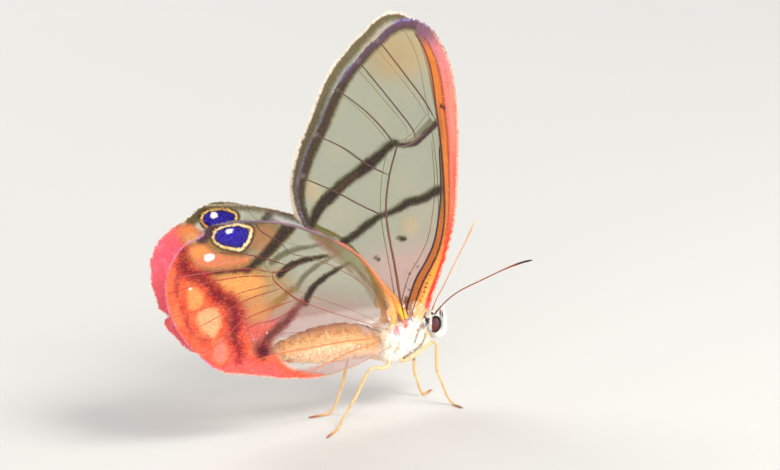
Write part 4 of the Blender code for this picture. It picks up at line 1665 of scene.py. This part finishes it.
HIND_VEINS = (
    Vein(
        ((-1.5, 11.7), (-2.15, 13.4), (-3.2, 15.4), (-4.3, 17.1), (-7.3, 19.7)),
        0.11, 0.09, "ec8448", "8a5a58",
    ),
    Vein(((-7.1, 19.6), (-9.2, 20.85), (-11.2, 21.85), (-15.0, 22.95), (-18.6, 23.25)), 0.1, 0.06, "7a6a74",
        "6a5a68"),
    Vein(((-1.5, 8.9), (-3.6, 13.4), (-6.2, 16.0), (-9.1, 17.9), (-11.2, 18.8), (-12.4, 20.3),
        (-14.1, 21.7), (-14.7, 22.9)), 0.036, 0.04, "a87860", "4a2430"),
    Vein(((-9.3, 18.0), (-11.4, 17.5), (-12.4, 17.3), (-13.5, 17.3)), 0.03, 0.045, "54342c", RUST),
    Vein(((-11.4, 17.5), (-14.7, 19.2), (-16.6, 19.9), (-18.5, 20.4)), 0.04, 0.03, "4a2430", RUST),
    Vein(((-13.5, 17.3), (-13.4, 16.5), (-12.4, 15.2), (-11.3, 14.1), (-10.4, 13.5)), 0.055, 0.07, RUST,
        RUST),
    Vein(((-13.5, 17.3), (-16.2, 18.3), (-20.0, 18.6), (-24.2, 18.8)), 0.04, 0.03, RUST, "a8505a"),
    Vein(((-13.6, 16.9), (-16.4, 17.5), (-20.4, 17.6), (-24.6, 17.3)), 0.04, 0.03, RUST, "a03030"),
    Vein(((-13.1, 16.1), (-16.9, 15.9), (-20.5, 15.1), (-24.6, 14.8)), 0.045, 0.03, RUST, "b84038"),
    Vein(((-12.8, 15.5), (-16.7, 15.0), (-20.0, 13.8), (-23.9, 12.6)), 0.04, 0.03, RUST, "b84038"),
    Vein(((-11.4, 14.1), (-16.9, 13.1), (-19.4, 11.4), (-22.3, 10.3)), 0.05, 0.03, RUST, "c04038"),
    Vein(((-11.0, 13.5), (-13.6, 12.5), (-16.4, 12.2), (-18.6, 10.0), (-19.9, 8.3)), 0.05, 0.03, RUST,
        "c04038"),
    Vein(((-1.9, 8.7), (-5.0, 10.5), (-8.0, 12.1), (-10.4, 13.5)), 0.05, 0.05, "b89080", "9a5a4c"),
    Vein(((-2.2, 8.2), (-6.7, 8.7), (-9.7, 8.8), (-14.0, 8.9), (-16.3, 8.6), (-18.2, 7.6)), 0.07, 0.04,
        "c8844c", "d05a3c"),
    Vein(((-2.4, 7.9), (-5.8, 7.6), (-7.9, 7.1), (-10.0, 6.6), (-12.2, 6.2)), 0.07, 0.04, "c8834c",
        "e07a3c"),
)


def forewings() -> Forewing:
    """The forewings with their sizes and veins.

    Returns:
        The pair.
    """
    return Forewing(
        name="forewing",
        outline=FORE_OUTLINE, veins=FORE_VEINS,
        hinge=(0.6, 8.9), hinge_reach=0.75, open_reach=0.85, tip_reach=1.85, opens_in=3.0, length=31.0,
        bow=0.25, squeeze=0.75, squeeze_from=(9.0, 12.0), turn=0.5, slot="smoky_membrane",
    )


def hindwings() -> tuple[Hindwing, Hindwing]:
    """The right hindwing with its sizes and veins, and the left one, which has a nicked rim.

    Returns:
        The right and left one.
    """
    right = Hindwing(
        name="hindwing",
        outline=HIND_OUTLINE, veins=HIND_VEINS,
        hinge=(-1.6, 8.6), hinge_reach=1.45, open_reach=2.12, tip_reach=2.85, opens_in=3.2, length=26.0,
        bow=0.15, squeeze=0.9, squeeze_from=(10.5, 15.0), turn=-2.0, slot="rosy_membrane",
        sides=(Side.RIGHT,), spacing=0.14,
    )
    left = replace(right, sides=(Side.LEFT,), outline=(
        *HIND_OUTLINE[:4], (-11.2, 21.8), (-16.2, 23.3),
        (-18.6, 23.35), (-20.1, 22.4), (-21.7, 21.6), (-23.5, 20.3), (-24.6, 18.4), (-24.65, 15.9),
        (-24.25, 13.9), (-24.05, 13.3), (-23.3, 12.6), (-23.75, 12.15), (-23.5, 11.3), (-21.7, 9.0),
        (-19.8, 8.0), (-16.2, 7.1), *HIND_OUTLINE[15:],
    ))
    return right, left


@dataclass
class Torso:
    """The head, thorax and abdomen as one skin, with the scales and hairs that cover it."""

    thorax: Points = (
        (-2.75, 5.85, 0.35, 0.45), (-2.2, 6.1, 1.25, 1.5), (-1.0, 6.68, 1.75, 2.07), (0.3, 7.35, 1.75, 2.0),
        (1.4, 7.97, 1.25, 1.48), (2.1, 8.35, 0.8, 1.0), (2.7, 8.5, 0.5, 0.6),
    )
    abdomen: Points = (
        (-1.9, 6.8, 0.75, 1.1), (-3.4, 7.25, 1.1, 1.55), (-5.2, 7.8, 1.25, 1.88), (-7.4, 8.08, 1.25, 2.02),
        (-9.8, 8.2, 1.2, 1.8), (-11.9, 8.32, 0.95, 1.28), (-13.2, 8.5, 0.6, 0.75), (-13.75, 8.6, 0.25, 0.3),
    )
    head: Points = (
        (3.25, 6.55, 0.3, 0.3), (3.2, 6.85, 0.75, 0.62), (3.15, 7.5, 1.0, 0.88), (3.1, 8.2, 1.0, 0.92),
        (3.1, 8.85, 0.8, 0.75), (3.1, 9.2, 0.4, 0.4),
    )
    coat_depth: float = 0.14
    voxel: float = 0.085
    rings: int = 8

    def shape(self, rows: Points, rings: int, segments: int = 0) -> Form:
        """One rounded length of the body, under its coat.

        Args:
            rows: stations along it.
            rings: how many rings.
            segments: how many grooves.

        Returns:
            The form.
        """
        stations = smooth_line([(x, 0.0, z, w, h) for x, z, w, h in rows], 4 * rings)
        place = (1 - np.cos(np.linspace(0, 1, rings) * pi)) / 2 * (len(stations) - 1)
        stations = np.stack([np.interp(place, np.arange(len(stations)), c) for c in stations.T], 1)
        stations[:, 3:] = np.maximum(stations[:, 3:] - self.coat_depth, 0.06)
        if segments:
            along = np.linspace(0, 1, rings)
            groove = np.abs(np.cos(along * pi * segments)) ** 10
            stations[:, 3:] *= (1 - 0.06 * groove)[:, None]
        return sweep(stations, 32)

    def skin(self) -> Form:
        """The three lengths and the wing roots fused into one even surface.

        Returns:
            The form.
        """
        forms = [
            self.shape(self.thorax, 40), self.shape(self.abdomen, 120, self.rings),
            self.shape(self.head, 30),
        ]
        for side in (-1, 1):
            root = (
                (-1.9, side * 1.25, 7.4, 0.5, 0.6), (-1.5, side * 1.35, 8.4, 0.45, 0.5),
                (-1.4, side * 1.5, 9.1, 0.2, 0.3),
            )
            forms.append(sweep(smooth_line(root, 10), 14))
            root = (
                (0.5, side * 0.7, 8.4, 0.45, 0.85), (0.6, side * 0.72, 9.0, 0.3, 0.7),
                (0.6, side * 0.74, 9.35, 0.12, 0.4),
            )
            forms.append(sweep(smooth_line(root, 10), 14))
        carrier = added("skin_source", joined(forms).mesh("skin_source"))
        remesh = carrier.modifiers.new("fuse", "REMESH")
        remesh.mode, remesh.voxel_size = "VOXEL", self.voxel
        ease = carrier.modifiers.new("ease", "SMOOTH")
        ease.factor, ease.iterations = 0.5, 4
        bpy.context.view_layer.update()
        fused = bpy.data.meshes.new_from_object(
            carrier.evaluated_get(bpy.context.evaluated_depsgraph_get())
        )
        bpy.data.objects.remove(carrier, do_unlink=True)
        points, normals = np.empty((2, len(fused.vertices), 3))
        fused.vertices.foreach_get("co", points.ravel())
        fused.vertices.foreach_get("normal", normals.ravel())
        form = Form(points, [tuple(p.vertices) for p in fused.polygons])
        form.paint = self.painted(points)
        form.lie = self.lie(points, normals)
        form.wrap = self.wrap(points)
        form.density = self.density(points)
        return form

    @staticmethod
    def painted(points: Array) -> Array:
        """White head and thorax, tan abdomen, and the rosy and yellow scales at the wing roots.

        Args:
            points: the places.

        Returns:
            The colours and opacity.
        """
        x, y, z = points.T
        art = Painter(points, "fffdf8", ragged=0.12)
        fleck = grain(points, 0.7, 41)
        art.lay(0.25 * step(0.3, 0.9, fleck), "e8dcc4")
        back = step(-2.3, -3.2, x)
        art.lay(back, "f9d0a8")
        high = z - np.interp(
            -x, (2.5, 5.0, 8.0, 12.0, 13.8), (8.4, 9.6, 10.1, 9.6, 9.2)
        ) + 0.3 * grain(points, 0.5, 42)
        art.lay(back * step(-2.1, -1.3, high) * 0.85, "eeb272")
        art.lay(back * step(-1.1, -0.4, high) * 0.85, "c87c3c")
        art.lay(back * step(-0.1, 0.3, high) * 0.8, "8a4a20")
        segment = np.abs(((-x - 2.6) / 1.4) % 1.0 - 0.5)
        art.lay(back * step(0.44, 0.5, segment) * 0.3, "b07840")
        grey = np.exp(-((x + 4.6) ** 2) / 2.2) * step(7.0, 6.3, z) + np.exp(
            -((x + 3.6) ** 2) / 0.8
        ) * step(-0.9, -0.2, high)
        art.lay(back * grey * 0.6, "d4c8cc")
        art.lay(step(-1.4, -2.2, x) * (1 - back) * 0.5, "fdf4de")
        side = np.abs(y)
        spots = (
            ((-1.1, 1.5, 8.85), (0.55, 0.8, 0.45), "f49cac", 0.85),
            ((0.1, 1.4, 9.1), (0.26, 0.9, 0.55), "f04a40", 0.9),
            ((-0.45, 1.3, 9.0), (0.32, 0.9, 0.36), "f4803c", 0.9),
            ((-0.95, 1.5, 9.15), (0.4, 0.9, 0.3), "f8c878", 0.8),
            ((-0.75, 1.5, 8.8), (0.26, 0.9, 0.26), "f0746c", 0.8),
            ((-1.5, 1.2, 9.2), (0.4, 0.9, 0.4), "f6bc84", 0.8),
            ((0.65, 0.8, 9.6), (0.4, 0.9, 0.4), "8a6a60", 0.85),
            ((1.95, 0.9, 8.5), (0.28, 0.7, 0.45), "a88064", 0.85),
            ((2.38, 0.8, 9.1), (0.15, 0.7, 0.6), "1c1418", 1.0),
            ((2.46, 0.8, 8.6), (0.2, 0.7, 0.36), "221838", 1.0),
            ((3.05, 0.5, 9.12), (0.19, 0.5, 0.2), "140c0a", 1.0),
            ((-1.6, 1.4, 7.6), (0.5, 0.8, 0.6), "fdecd8", 0.7),
        )
        for centre, radii, colour, strength in spots:
            spot = np.column_stack([x, side, z]) - np.array(centre)
            rough = (0.2 if centre[0] > 1.5 else 0.5) * grain(points, 0.25, 43)
            far = np.linalg.norm(spot / np.array(radii), axis=1) + rough
            art.lay(step(1.25, 0.7, far) * strength, colour)
        flank = np.column_stack([x, z])
        for line, half, colour in (
            (((1.8, 8.6), (1.45, 8.3), (1.05, 7.75), (0.75, 7.2)), 0.08, "9a7860"),
            (((1.6, 6.95), (0.4, 6.2), (-0.6, 5.65)), 0.09, "a88058"),
            (((-0.7, 7.6), (-1.1, 7.0), (-1.5, 6.45)), 0.07, "d8b088"),
            (((1.2, 8.3), (0.6, 8.1), (0.1, 7.8)), 0.05, "f0cca0"),
        ):
            far, _ = nearest(flank, smooth_line(line, 20))
            art.lay(step(2.2, 0.7, far / half + 0.5 * grain(points, 0.3, 45)) * 0.85, colour)
        return art.colours()

    @staticmethod
    def lie(points: Array, normals: Array) -> Array:
        """Which way the coat lies: back and down on the body, up and round on the head.

        Args:
            points: the places.
            normals: the normals there.

        Returns:
            The directions.
        """
        x, y, z = points.T
        way = np.column_stack([-0.75 * np.ones(len(x)), 0.25 * np.sign(y), -0.9 * np.ones(len(x))])
        head = step(2.3, 2.8, x)[:, None]
        up = np.column_stack([0.5 * np.ones(len(x)), 0.1 * np.sign(y), np.ones(len(x))])
        way = way * (1 - head) + up * head
        tail = step(-2.6, -3.6, x)[:, None]
        way = way * (1 - tail) + np.array((-1.0, 0.0, 0.12)) * tail
        way[:, 2] -= 0.7 * tail[:, 0] * step(7.6, 6.7, z)
        way += 0.25 * np.column_stack([grain(points, 0.6, s) for s in (51, 52, 53)])
        way -= normals * np.einsum("ij,ij->i", way, normals)[:, None]
        return unit(way, TINY)

    @staticmethod
    def wrap(points: Array) -> Array:
        """Each place as an angle round the body, and how far along it lies.

        Args:
            points: the places.

        Returns:
            Cosine, sine and height.
        """
        x, y, z = points.T
        middle = np.interp(x, (-13.8, -7.4, -3.4, 0.3, 3.2), (8.55, 8.1, 7.1, 7.4, 7.9))
        angle = np.arctan2(y, z - middle)
        return np.column_stack([np.cos(angle), np.sin(angle), 0.02 + 0.96 * (x + 14) / 18.5])

    @staticmethod
    def density(points: Array) -> Array:
        """How thick the coat is: none in the eye sockets, thinner on the abdomen.

        Args:
            points: the places.

        Returns:
            From 0 to 1 at each place.
        """
        x, y, z = points.T
        side = np.abs(y)
        ahead = x - 0.115 * (z - 8.26)
        socket = np.linalg.norm(
            (np.column_stack([ahead, side, z]) - (3.09, 0.95, 8.25)) / (0.66, 0.6, 0.93), axis=1
        )
        return step(0.95, 1.05, socket) * (1 - 0.35 * step(-2.6, -3.6, x))

    def build(self, bench: Bench) -> None:
        """Makes the skin and its coat.

        Args:
            bench: what it is made with.
        """
        form = self.skin()
        skin, nodes = bench.palette.skin, ["thorax", "head", "abdomen"]
        add_piece("body_skin", form.mesh("body_skin"), skin, nodes)
        x, blades = form.points[:, 0], bench.blades
        parts = (
            ("head_coat", step(2.2, 2.5, x), blades.tuft, 190.0, 0.24, 0.26, 61),
            ("thorax_coat", step(2.5, 2.2, x) * step(-3.2, -2.6, x), blades.tuft, 72.0, 0.52, 0.26, 62),
            ("abdomen_scales", step(-2.4, -3.0, x), blades.scale, 90.0, 0.4, 0.22, 63),
        )
        cover = form.density
        for name, share, blade, count, length, lift, seed in parts:
            form.density = cover * share
            slot = "tan_scales" if name.startswith("abdomen") else "white_scales"
            bench.cover(
                name, form, blade, bench.palette.coat, slot, Count_per_mm2=count, Length=length,
                Lift=lift, Lift_spread=0.16, Swing=0.3, Seed=seed,
            )


@dataclass
class Eyes:
    """The two compound eyes, each with white scales over its rear edge."""

    reach: float = 1.12
    centre: tuple[float, float] = (3.09, 8.25)
    radii: tuple[float, float, float] = (0.63, 0.6, 0.86)
    tilt: float = 0.115
    trim: float = 0.35
    across: int = 44
    down: int = 28

    def oval(self) -> tuple[Array, list[tuple[int, ...]]]:
        """Points and faces of the oval about its own middle.

        Returns:
            The points and the faces.
        """
        across, down = self.across, self.down
        turns = np.linspace(0, 2 * pi, across, endpoint=False)
        points = []
        for i in range(1, down):
            tilt = pi * i / down
            points.append(np.stack([
                self.radii[0] * sin(tilt) * np.cos(turns),
                self.radii[1] * sin(tilt) * np.sin(turns),
                np.full(across, self.radii[2] * cos(tilt)),
            ], 1))
        faces = []
        for ring in range(down - 2):
            for k in range(across):
                a, b = ring * across + k, ring * across + (k + 1) % across
                faces.append((a, a + across, b + across, b))
        top, last = (down - 1) * across, (down - 2) * across
        for k in range(across):
            faces.append((top, k, (k + 1) % across))
            faces.append((top + 1, last + (k + 1) % across, last + k))
        return np.vstack([*points, (0, 0, self.radii[2]), (0, 0, -self.radii[2])]), faces

    def build(self, bench: Bench) -> None:
        """Makes each eye, dark round its edge from painted shade and with a painted highlight on top, and the
        scales behind it.

        Args:
            bench: what it is made with.
        """
        oval, faces = self.oval()
        for side in Side:
            x, y, z = (oval / np.array(self.radii)).T
            art = Painter(oval, "6c3230", ragged=0.02)
            face = -0.27 * x + 0.94 * y * side.value + 0.19 * z
            # Painted highlight: grey violet over the upper front of the eye.
            art.lay(0.6 * step(0.0, 0.5, z) * step(0.35, -0.15, x), "4c3448")
            art.lay(0.6 * step(-0.2, -0.7, z), "7a2c30")
            # Painted shade: near black round the outline as seen along the face direction, which is the
            # camera's direction for the right eye.
            art.lay(step(0.76, 0.6, face - 0.36 * x), "080404")
            rear = 0.95 * oval[:, 0] + 0.3 * oval[:, 1] * side.value + self.trim
            art.lay(step(0.02, -0.02, rear + 0.015 * grain(oval, 0.1, 46)), "fffaf2")
            points = oval + (self.centre[0], side.value * self.reach, self.centre[1])
            points[:, 0] += self.tilt * oval[:, 2]
            name = f"eye_{side.name.lower()}"
            form = Form(points, faces, art.colours())
            add_piece(f"{name}_facets", form.mesh(name), bench.palette.eye, [name])
            normals = unit(oval / np.array(self.radii) ** 2)
            way = np.tile((0.1, 0.0, 1.0), (len(oval), 1))
            way -= normals * np.einsum("ij,ij->i", way, normals)[:, None]
            form.paint = Painter(oval, "ffffff").colours()
            form.lie = unit(way, TINY)
            form.wrap = np.column_stack([x, y, 0.5 + 0.48 * z])
            form.density = step(0.0, -0.04, rear)
            bench.cover(
                f"{name}_rear_scales", form, bench.blades.tuft, bench.palette.coat, "white_scales",
                Count_per_mm2=220.0, Length=0.18, Lift=0.2, Lift_spread=0.1, Swing=0.2, Seed=72,
            )


@dataclass
class Palps:
    """The two upturned palps before the face."""

    path: Points = (
        (3.2, 0.42, 7.0, 0.18), (3.75, 0.42, 6.9, 0.2), (4.1, 0.42, 7.3, 0.2), (4.28, 0.4, 8.0, 0.18),
        (4.32, 0.36, 8.9, 0.13), (4.33, 0.3, 9.65, 0.05),
    )

    def build(self, bench: Bench) -> None:
        """Makes each palp and its white scales, with a dark line along its outer side.

        Args:
            bench: what it is made with.
        """
        for side in Side:
            rows = [(x, y * side.value, z, r, r * 1.15) for x, y, z, r in self.path]
            form = sweep(smooth_line(rows, 40), 16)
            points = form.points
            art = Painter(points, "fffdf8", ragged=0.05)
            inner = points[:, 1] * side.value
            behind = points[:, 0] - np.interp(points[:, 2], (6.9, 8.0, 9.65), (4.0, 4.26, 4.3))
            art.lay(
                step(-0.02, -0.1, behind) * step(8.3, 8.8, points[:, 2]) * step(-0.3, 0.0, inner), "4a4844"
            )
            form.paint = art.colours()
            name = f"palp_{side.name.lower()}"
            add_piece(f"{name}_core", form.mesh(name), bench.palette.skin, [name])
            middle = smooth_line([(x, y * side.value, z) for x, y, z, _ in self.path], 40)
            way = unit(np.gradient(middle, axis=0))
            which = np.linalg.norm(points[:, None] - middle, axis=2).argmin(1)
            form.lie = way[which]
            off = points - middle[which]
            angle = np.arctan2(off[:, 1], off[:, 0])
            form.wrap = np.column_stack([np.cos(angle), np.sin(angle), 0.02 + 0.96 * which / 39])
            form.density = np.ones(len(points))
            bench.cover(
                f"{name}_scales", form, bench.blades.tuft, bench.palette.coat, "white_scales",
                Count_per_mm2=170.0, Length=0.2, Lift=0.26, Lift_spread=0.15, Swing=0.2, Seed=71,
            )


@dataclass
class Antennae:
    """The two antennae, slim and ringed, with a long slight club."""

    right: Points = (
        (3.3, -0.45, 8.9), (3.5, -0.55, 9.3), (4.5, -1.5, 10.6), (5.6, -2.7, 11.7), (7.3, -4.8, 13.0),
        (9.3, -6.8, 14.3), (10.6, -8.1, 15.0), (11.5, -8.9, 15.3),
    )
    left: Points = (
        (3.2, 0.42, 8.8), (3.4, 0.55, 9.2), (4.1, 1.0, 10.1), (5.2, 1.8, 11.0), (6.6, 3.0, 12.2),
        (8.0, 4.4, 13.2), (9.5, 6.0, 14.2), (10.7, 7.4, 15.0), (11.6, 8.6, 15.5),
    )
    joints: int = 38
    sides: int = 10

    def build(self, bench: Bench) -> None:
        """Makes each antenna as a run of short joints.

        Args:
            bench: what it is made with.
        """
        for name, path, shades in (
            # Painted light: the left antenna's tones are paler than the right one's, as if lit.
            ("antenna_right", self.right, ("8a3c14", "a5521e", "2a120c")),
            ("antenna_left", self.left, ("b06a30", "d89a5c", "e8c8a0")),
        ):
            count = self.joints * 5
            line = smooth_line(path, count)
            along = np.linspace(0, 1, count)
            width = np.interp(
                along, (0, 0.02, 0.1, 0.72, 0.88, 0.97, 1), (0.11, 0.1, 0.062, 0.064, 0.11, 0.105, 0.045)
            )
            swell = np.abs(np.sin(along * pi * self.joints))
            width *= 0.86 + 0.2 * swell**0.6
            form = sweep(np.column_stack([line, width, width]), self.sides)
            root, middle, tip = (tint(code) for code in shades)
            tone = np.where((along < 0.5)[:, None], root + (middle - root) * along[:, None] * 2, middle)
            tone = tone + (tip - tone) * step(0.8, 0.93, along)[:, None]
            tone = tone * (0.62 + 0.38 * step(0.1, 0.5, swell))[:, None]
            rgb = np.vstack([np.repeat(tone, self.sides, axis=0), tone[:1], tone[-1:]])
            form.paint = np.column_stack([rgb, np.ones(len(rgb))])
            add_piece(f"{name}_joints", form.mesh(name), bench.palette.chitin, [name])


class LegKind(Enum):
    """Which pair a leg belongs to."""

    FORE = "foreleg"
    MID = "midleg"
    HIND = "hindleg"


@dataclass
class Leg:
    """One leg: its path, with the places of its knee, shin end and foot joints along it."""

    kind: LegKind
    side: Side
    path: Points
    knee: float
    shin: float
    knee_ring: float = 0.25
    rings: int = 110
    sides: int = 12
    lowest: float = 0.02

    def radius(self, along: Array) -> Array:
        """Half thickness along the leg, pinched at each joint.

        Args:
            along: places from 0 to 1.

        Returns:
            The half thickness at each place.
        """
        if self.kind is LegKind.FORE:
            return np.interp(along, (0, 0.3, 0.7, 1), (0.15, 0.14, 0.13, 0.06))
        width = np.interp(
            along, (0, self.knee * 0.5, self.knee, self.knee + 0.08, self.shin, self.shin + 0.03, 0.96, 1),
            (0.17, 0.18, 0.14, 0.15, 0.165, 0.125, 0.11, 0.08),
        )
        joints = [self.knee, self.shin, *np.linspace(self.shin, 1, 6)[1:-1]]
        for place in joints:
            width *= 1 - 0.24 * np.exp(-(((along - place) / 0.012) ** 2))
        return width

    def build(self, bench: Bench) -> None:
        """Makes the leg, its claws and its bristles.

        Args:
            bench: what it is made with.
        """
        name = f"{self.kind.value}_{self.side.name.lower()}"
        count = self.rings
        line = smooth_line(self.path, count)
        along = np.linspace(0, 1, count)
        width = self.radius(along)
        form = sweep(np.column_stack([line, width, width * 1.05]), self.sides)
        place = np.r_[np.repeat(along, self.sides), 0.0, 1.0]
        thick = self.kind is LegKind.FORE
        art = Painter(form.points, "fff6e4" if thick else "e6c088", ragged=0.04)
        art.lay(step(self.knee + 0.05, self.knee * 0.6, place) * 0.8, "f4d8aa")
        if not thick:
            art.lay(step(self.shin, self.shin + 0.2, place) * 0.75, "d9a45c")
            art.lay(step(0.88, 0.99, place), "a5602a")
            for joint, dark in ((self.knee, self.knee_ring), (self.shin, 0.25)):
                art.lay(np.exp(-(((place - joint) / 0.01) ** 2)) * dark, "6a4020")
        form.paint = art.colours()
        forms = [form]
        if not thick:
            tip, way = line[-1], line[-1] - line[-6]
            way /= np.linalg.norm(way)
            out = np.cross(way, (0, 0, 1))
            for turn in (-1, 1):
                hook = [
                    tip, tip + way * 0.16 + out * 0.06 * turn + (0, 0, 0.02),
                    tip + way * 0.26 + out * 0.1 * turn - (0, 0, 0.08),
                ]
                claw = sweep(
                    np.column_stack([smooth_line(hook, 8), *[np.linspace(0.045, 0.012, 8)] * 2]), 6
                )
                claw.paint = np.tile([*tint("4a2412"), 1.0], (len(claw.points), 1))
                forms.append(claw)
        whole = joined(forms)
        whole.points[:, 2] = np.maximum(whole.points[:, 2], self.lowest)
        add_piece(f"{name}_shell", whole.mesh(name), bench.palette.chitin, [name])
        form.points[:, 2] = np.maximum(form.points[:, 2], self.lowest)
        way = unit(np.gradient(line, axis=0))
        which = np.r_[np.repeat(np.arange(count), self.sides), 0, count - 1]
        form.lie = way[which]
        off = form.points - line[which]
        angle = np.arctan2(off[:, 1], off[:, 0] + off[:, 2])
        form.wrap = np.column_stack([np.cos(angle), np.sin(angle), 0.02 + 0.96 * which / count])
        form.density = step(0.97, 0.9, place) * (
            1.0 if thick else 0.45 + 0.55 * step(self.shin, self.knee, place)
        )
        blade, count, length = (bench.blades.tuft, 110.0, 0.32) if thick else (bench.blades.hair, 70.0, 0.2)
        bench.cover(
            f"{name}_bristles", form, blade, bench.palette.coat, "leg_cream", Count_per_mm2=count,
            Length=length, Length_spread=0.35, Lift=0.3, Lift_spread=0.15, Swing=0.3, Seed=81,
        )


def legs() -> tuple[Leg, ...]:
    """The six legs.

    Returns:
        The legs.
    """
    fore = ((1.9, 0.5, 7.7), (2.15, 1.15, 7.4), (1.95, 1.45, 6.85), (1.5, 1.4, 6.2), (1.05, 1.15, 5.7))
    mid_right = (
        (-0.9, -0.9, 6.0), (-0.9, -1.65, 5.3), (0.1, -2.2, 5.75), (1.3, -2.4, 6.45), (2.2, -2.5, 6.9),
        (2.55, -2.5, 6.5), (2.45, -2.4, 5.2), (2.4, -2.35, 3.7), (2.75, -2.4, 2.4), (3.1, -2.5, 1.0),
        (3.5, -2.8, 0.2), (3.7, -3.5, 0.13), (3.9, -4.2, 0.12),
    )
    mid_left = (
        (-0.6, 0.9, 6.0), (0.0, 1.7, 5.2), (0.9, 2.1, 5.0), (1.4, 2.2, 4.5), (1.4, 2.2, 3.7),
        (1.3, 2.1, 2.7), (1.5, 2.1, 1.7), (1.65, 2.1, 0.8), (1.9, 2.15, 0.2), (2.4, 2.5, 0.13),
        (3.0, 2.95, 0.12),
    )
    hind_right = (
        (-1.9, -0.7, 5.9), (-2.3, -1.3, 5.1), (-3.2, -2.2, 5.15), (-4.3, -3.0, 5.6), (-5.0, -3.4, 5.5),
        (-5.7, -3.35, 4.5), (-6.5, -3.2, 3.2), (-7.5, -3.05, 1.8), (-8.3, -2.95, 0.7), (-8.8, -3.1, 0.16),
        (-9.6, -4.0, 0.13), (-10.4, -4.9, 0.12),
    )
    hind_left = (
        (-1.9, 0.7, 5.9), (-2.4, 1.3, 5.1), (-3.4, 2.2, 5.3), (-4.4, 2.9, 5.75), (-5.0, 3.1, 5.5),
        (-5.5, 2.9, 4.5), (-6.0, 2.7, 3.3), (-6.7, 2.5, 1.8), (-7.5, 2.25, 0.6), (-8.1, 2.1, 0.16),
        (-9.0, 2.1, 0.13), (-10.0, 2.2, 0.12),
    )
    mirrored = tuple((x, -y, z) for x, y, z in fore)
    return (
        Leg(LegKind.FORE, Side.RIGHT, mirrored, 0.4, 0.8), Leg(LegKind.FORE, Side.LEFT, fore, 0.4, 0.8),
        Leg(LegKind.MID, Side.RIGHT, mid_right, 0.36, 0.6),
        Leg(LegKind.MID, Side.LEFT, mid_left, 0.4, 0.58, 0.9),
        Leg(LegKind.HIND, Side.RIGHT, hind_right, 0.34, 0.63),
        Leg(LegKind.HIND, Side.LEFT, hind_left, 0.36, 0.63),
    )


@dataclass
class Studio:
    """The floor, the lights and the camera."""

    azimuth: float = -16.0
    elevation: float = 16.0
    roll: float = 6.5
    distance: float = 0.5
    lens: float = 230.77
    aim: tuple[float, float, float] = (-0.234, 0.0, 18.0)

    def camera(self) -> None:
        """Sets the camera at the photograph's angle."""
        a, e, r = (radians(v) for v in (self.azimuth, self.elevation, self.roll))
        back = Vector((sin(a) * cos(e), -cos(a) * cos(e), sin(e)))
        right = Vector((cos(a), sin(a), 0.0))
        up = back.cross(right)
        across = right * cos(r) - up * sin(r)
        above = right * sin(r) + up * cos(r)
        data = bpy.data.cameras.new("camera")
        data.lens, data.sensor_width = self.lens, 36.0
        data.clip_start, data.clip_end = 0.02, 20.0
        camera = added("camera", data)
        turn = Matrix((across, above, back)).transposed().to_4x4()
        place = (Vector(self.aim) + Vector(SHIFT)) * MM + back * self.distance
        camera.matrix_world = Matrix.Translation(place) @ turn
        bpy.context.scene.camera = camera

    def lamp(self, name: str, place: Points, size: float, watts: float, colour: Sequence[float]) -> None:
        """Adds a soft square light that faces the butterfly.

        Args:
            name: the new mesh's name.
            place: where it stands, in metres.
            size: its side in metres.
            watts: its power.
            colour: the colour.
        """
        data = bpy.data.lights.new(name, "AREA")
        data.size, data.energy, data.color = size, watts, colour
        lamp = added(name, data)
        target = (Vector(self.aim) + Vector(SHIFT)) * MM
        lamp.location = Vector(place)
        lamp.rotation_euler = (target - Vector(place)).to_track_quat("-Z", "Y").to_euler()

    def floor(self) -> None:
        """Lays a wide pale floor."""
        half = 6.0
        mesh = bpy.data.meshes.new("floor")
        mesh.from_pydata(
            [(-half, -half, 0), (half, -half, 0), (half, half, 0), (-half, half, 0)], [], [(0, 1, 2, 3)]
        )
        material = bpy.data.materials.new("floor_paper")
        material.use_nodes = True
        shader = material.node_tree.nodes["Principled BSDF"]
        shader.inputs["Base Color"].default_value = (0.66, 0.65, 0.63, 1.0)
        shader.inputs["Roughness"].default_value = 0.9
        mesh.materials.append(material)
        floor = added("floor", mesh)

    def build(self) -> None:
        """Sets up the camera, the floor, the sky and the lights."""
        self.camera()
        self.floor()
        world = bpy.data.worlds.new("studio")
        world.use_nodes = True
        world.node_tree.nodes["Background"].inputs["Color"].default_value = (0.86, 0.87, 0.88, 1.0)
        world.node_tree.nodes["Background"].inputs["Strength"].default_value = 0.62
        bpy.context.scene.world = world
        self.lamp("key", (0.16, -0.3, 0.34), 0.16, 1.75, (1.0, 0.975, 0.93))
        self.lamp("fill", (-0.2, -0.36, 0.06), 0.3, 0.95, (1.0, 0.96, 0.92))
        self.lamp("face", (0.26, -0.26, 0.03), 0.2, 0.7, (1.0, 0.98, 0.95))
        self.lamp("rim", (-0.1, 0.34, 0.3), 0.2, 0.8, (1.0, 0.98, 0.95))
        bpy.context.scene.view_settings.view_transform = "Standard"


def main() -> None:
    """Builds the butterfly and its studio in order."""
    logging.basicConfig(level=logging.INFO, format="%(message)s")
    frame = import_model()
    LOG.info("frame: %d nodes", len(frame["nodes"]))
    Studio().build()
    bench = Bench(Palette(), ScatterTree(), Blades())
    for part in (forewings(), *hindwings(), Torso(), Eyes(), Palps(), Antennae(), *legs()):
        part.build(bench)


if __name__ == "__main__":
    main()
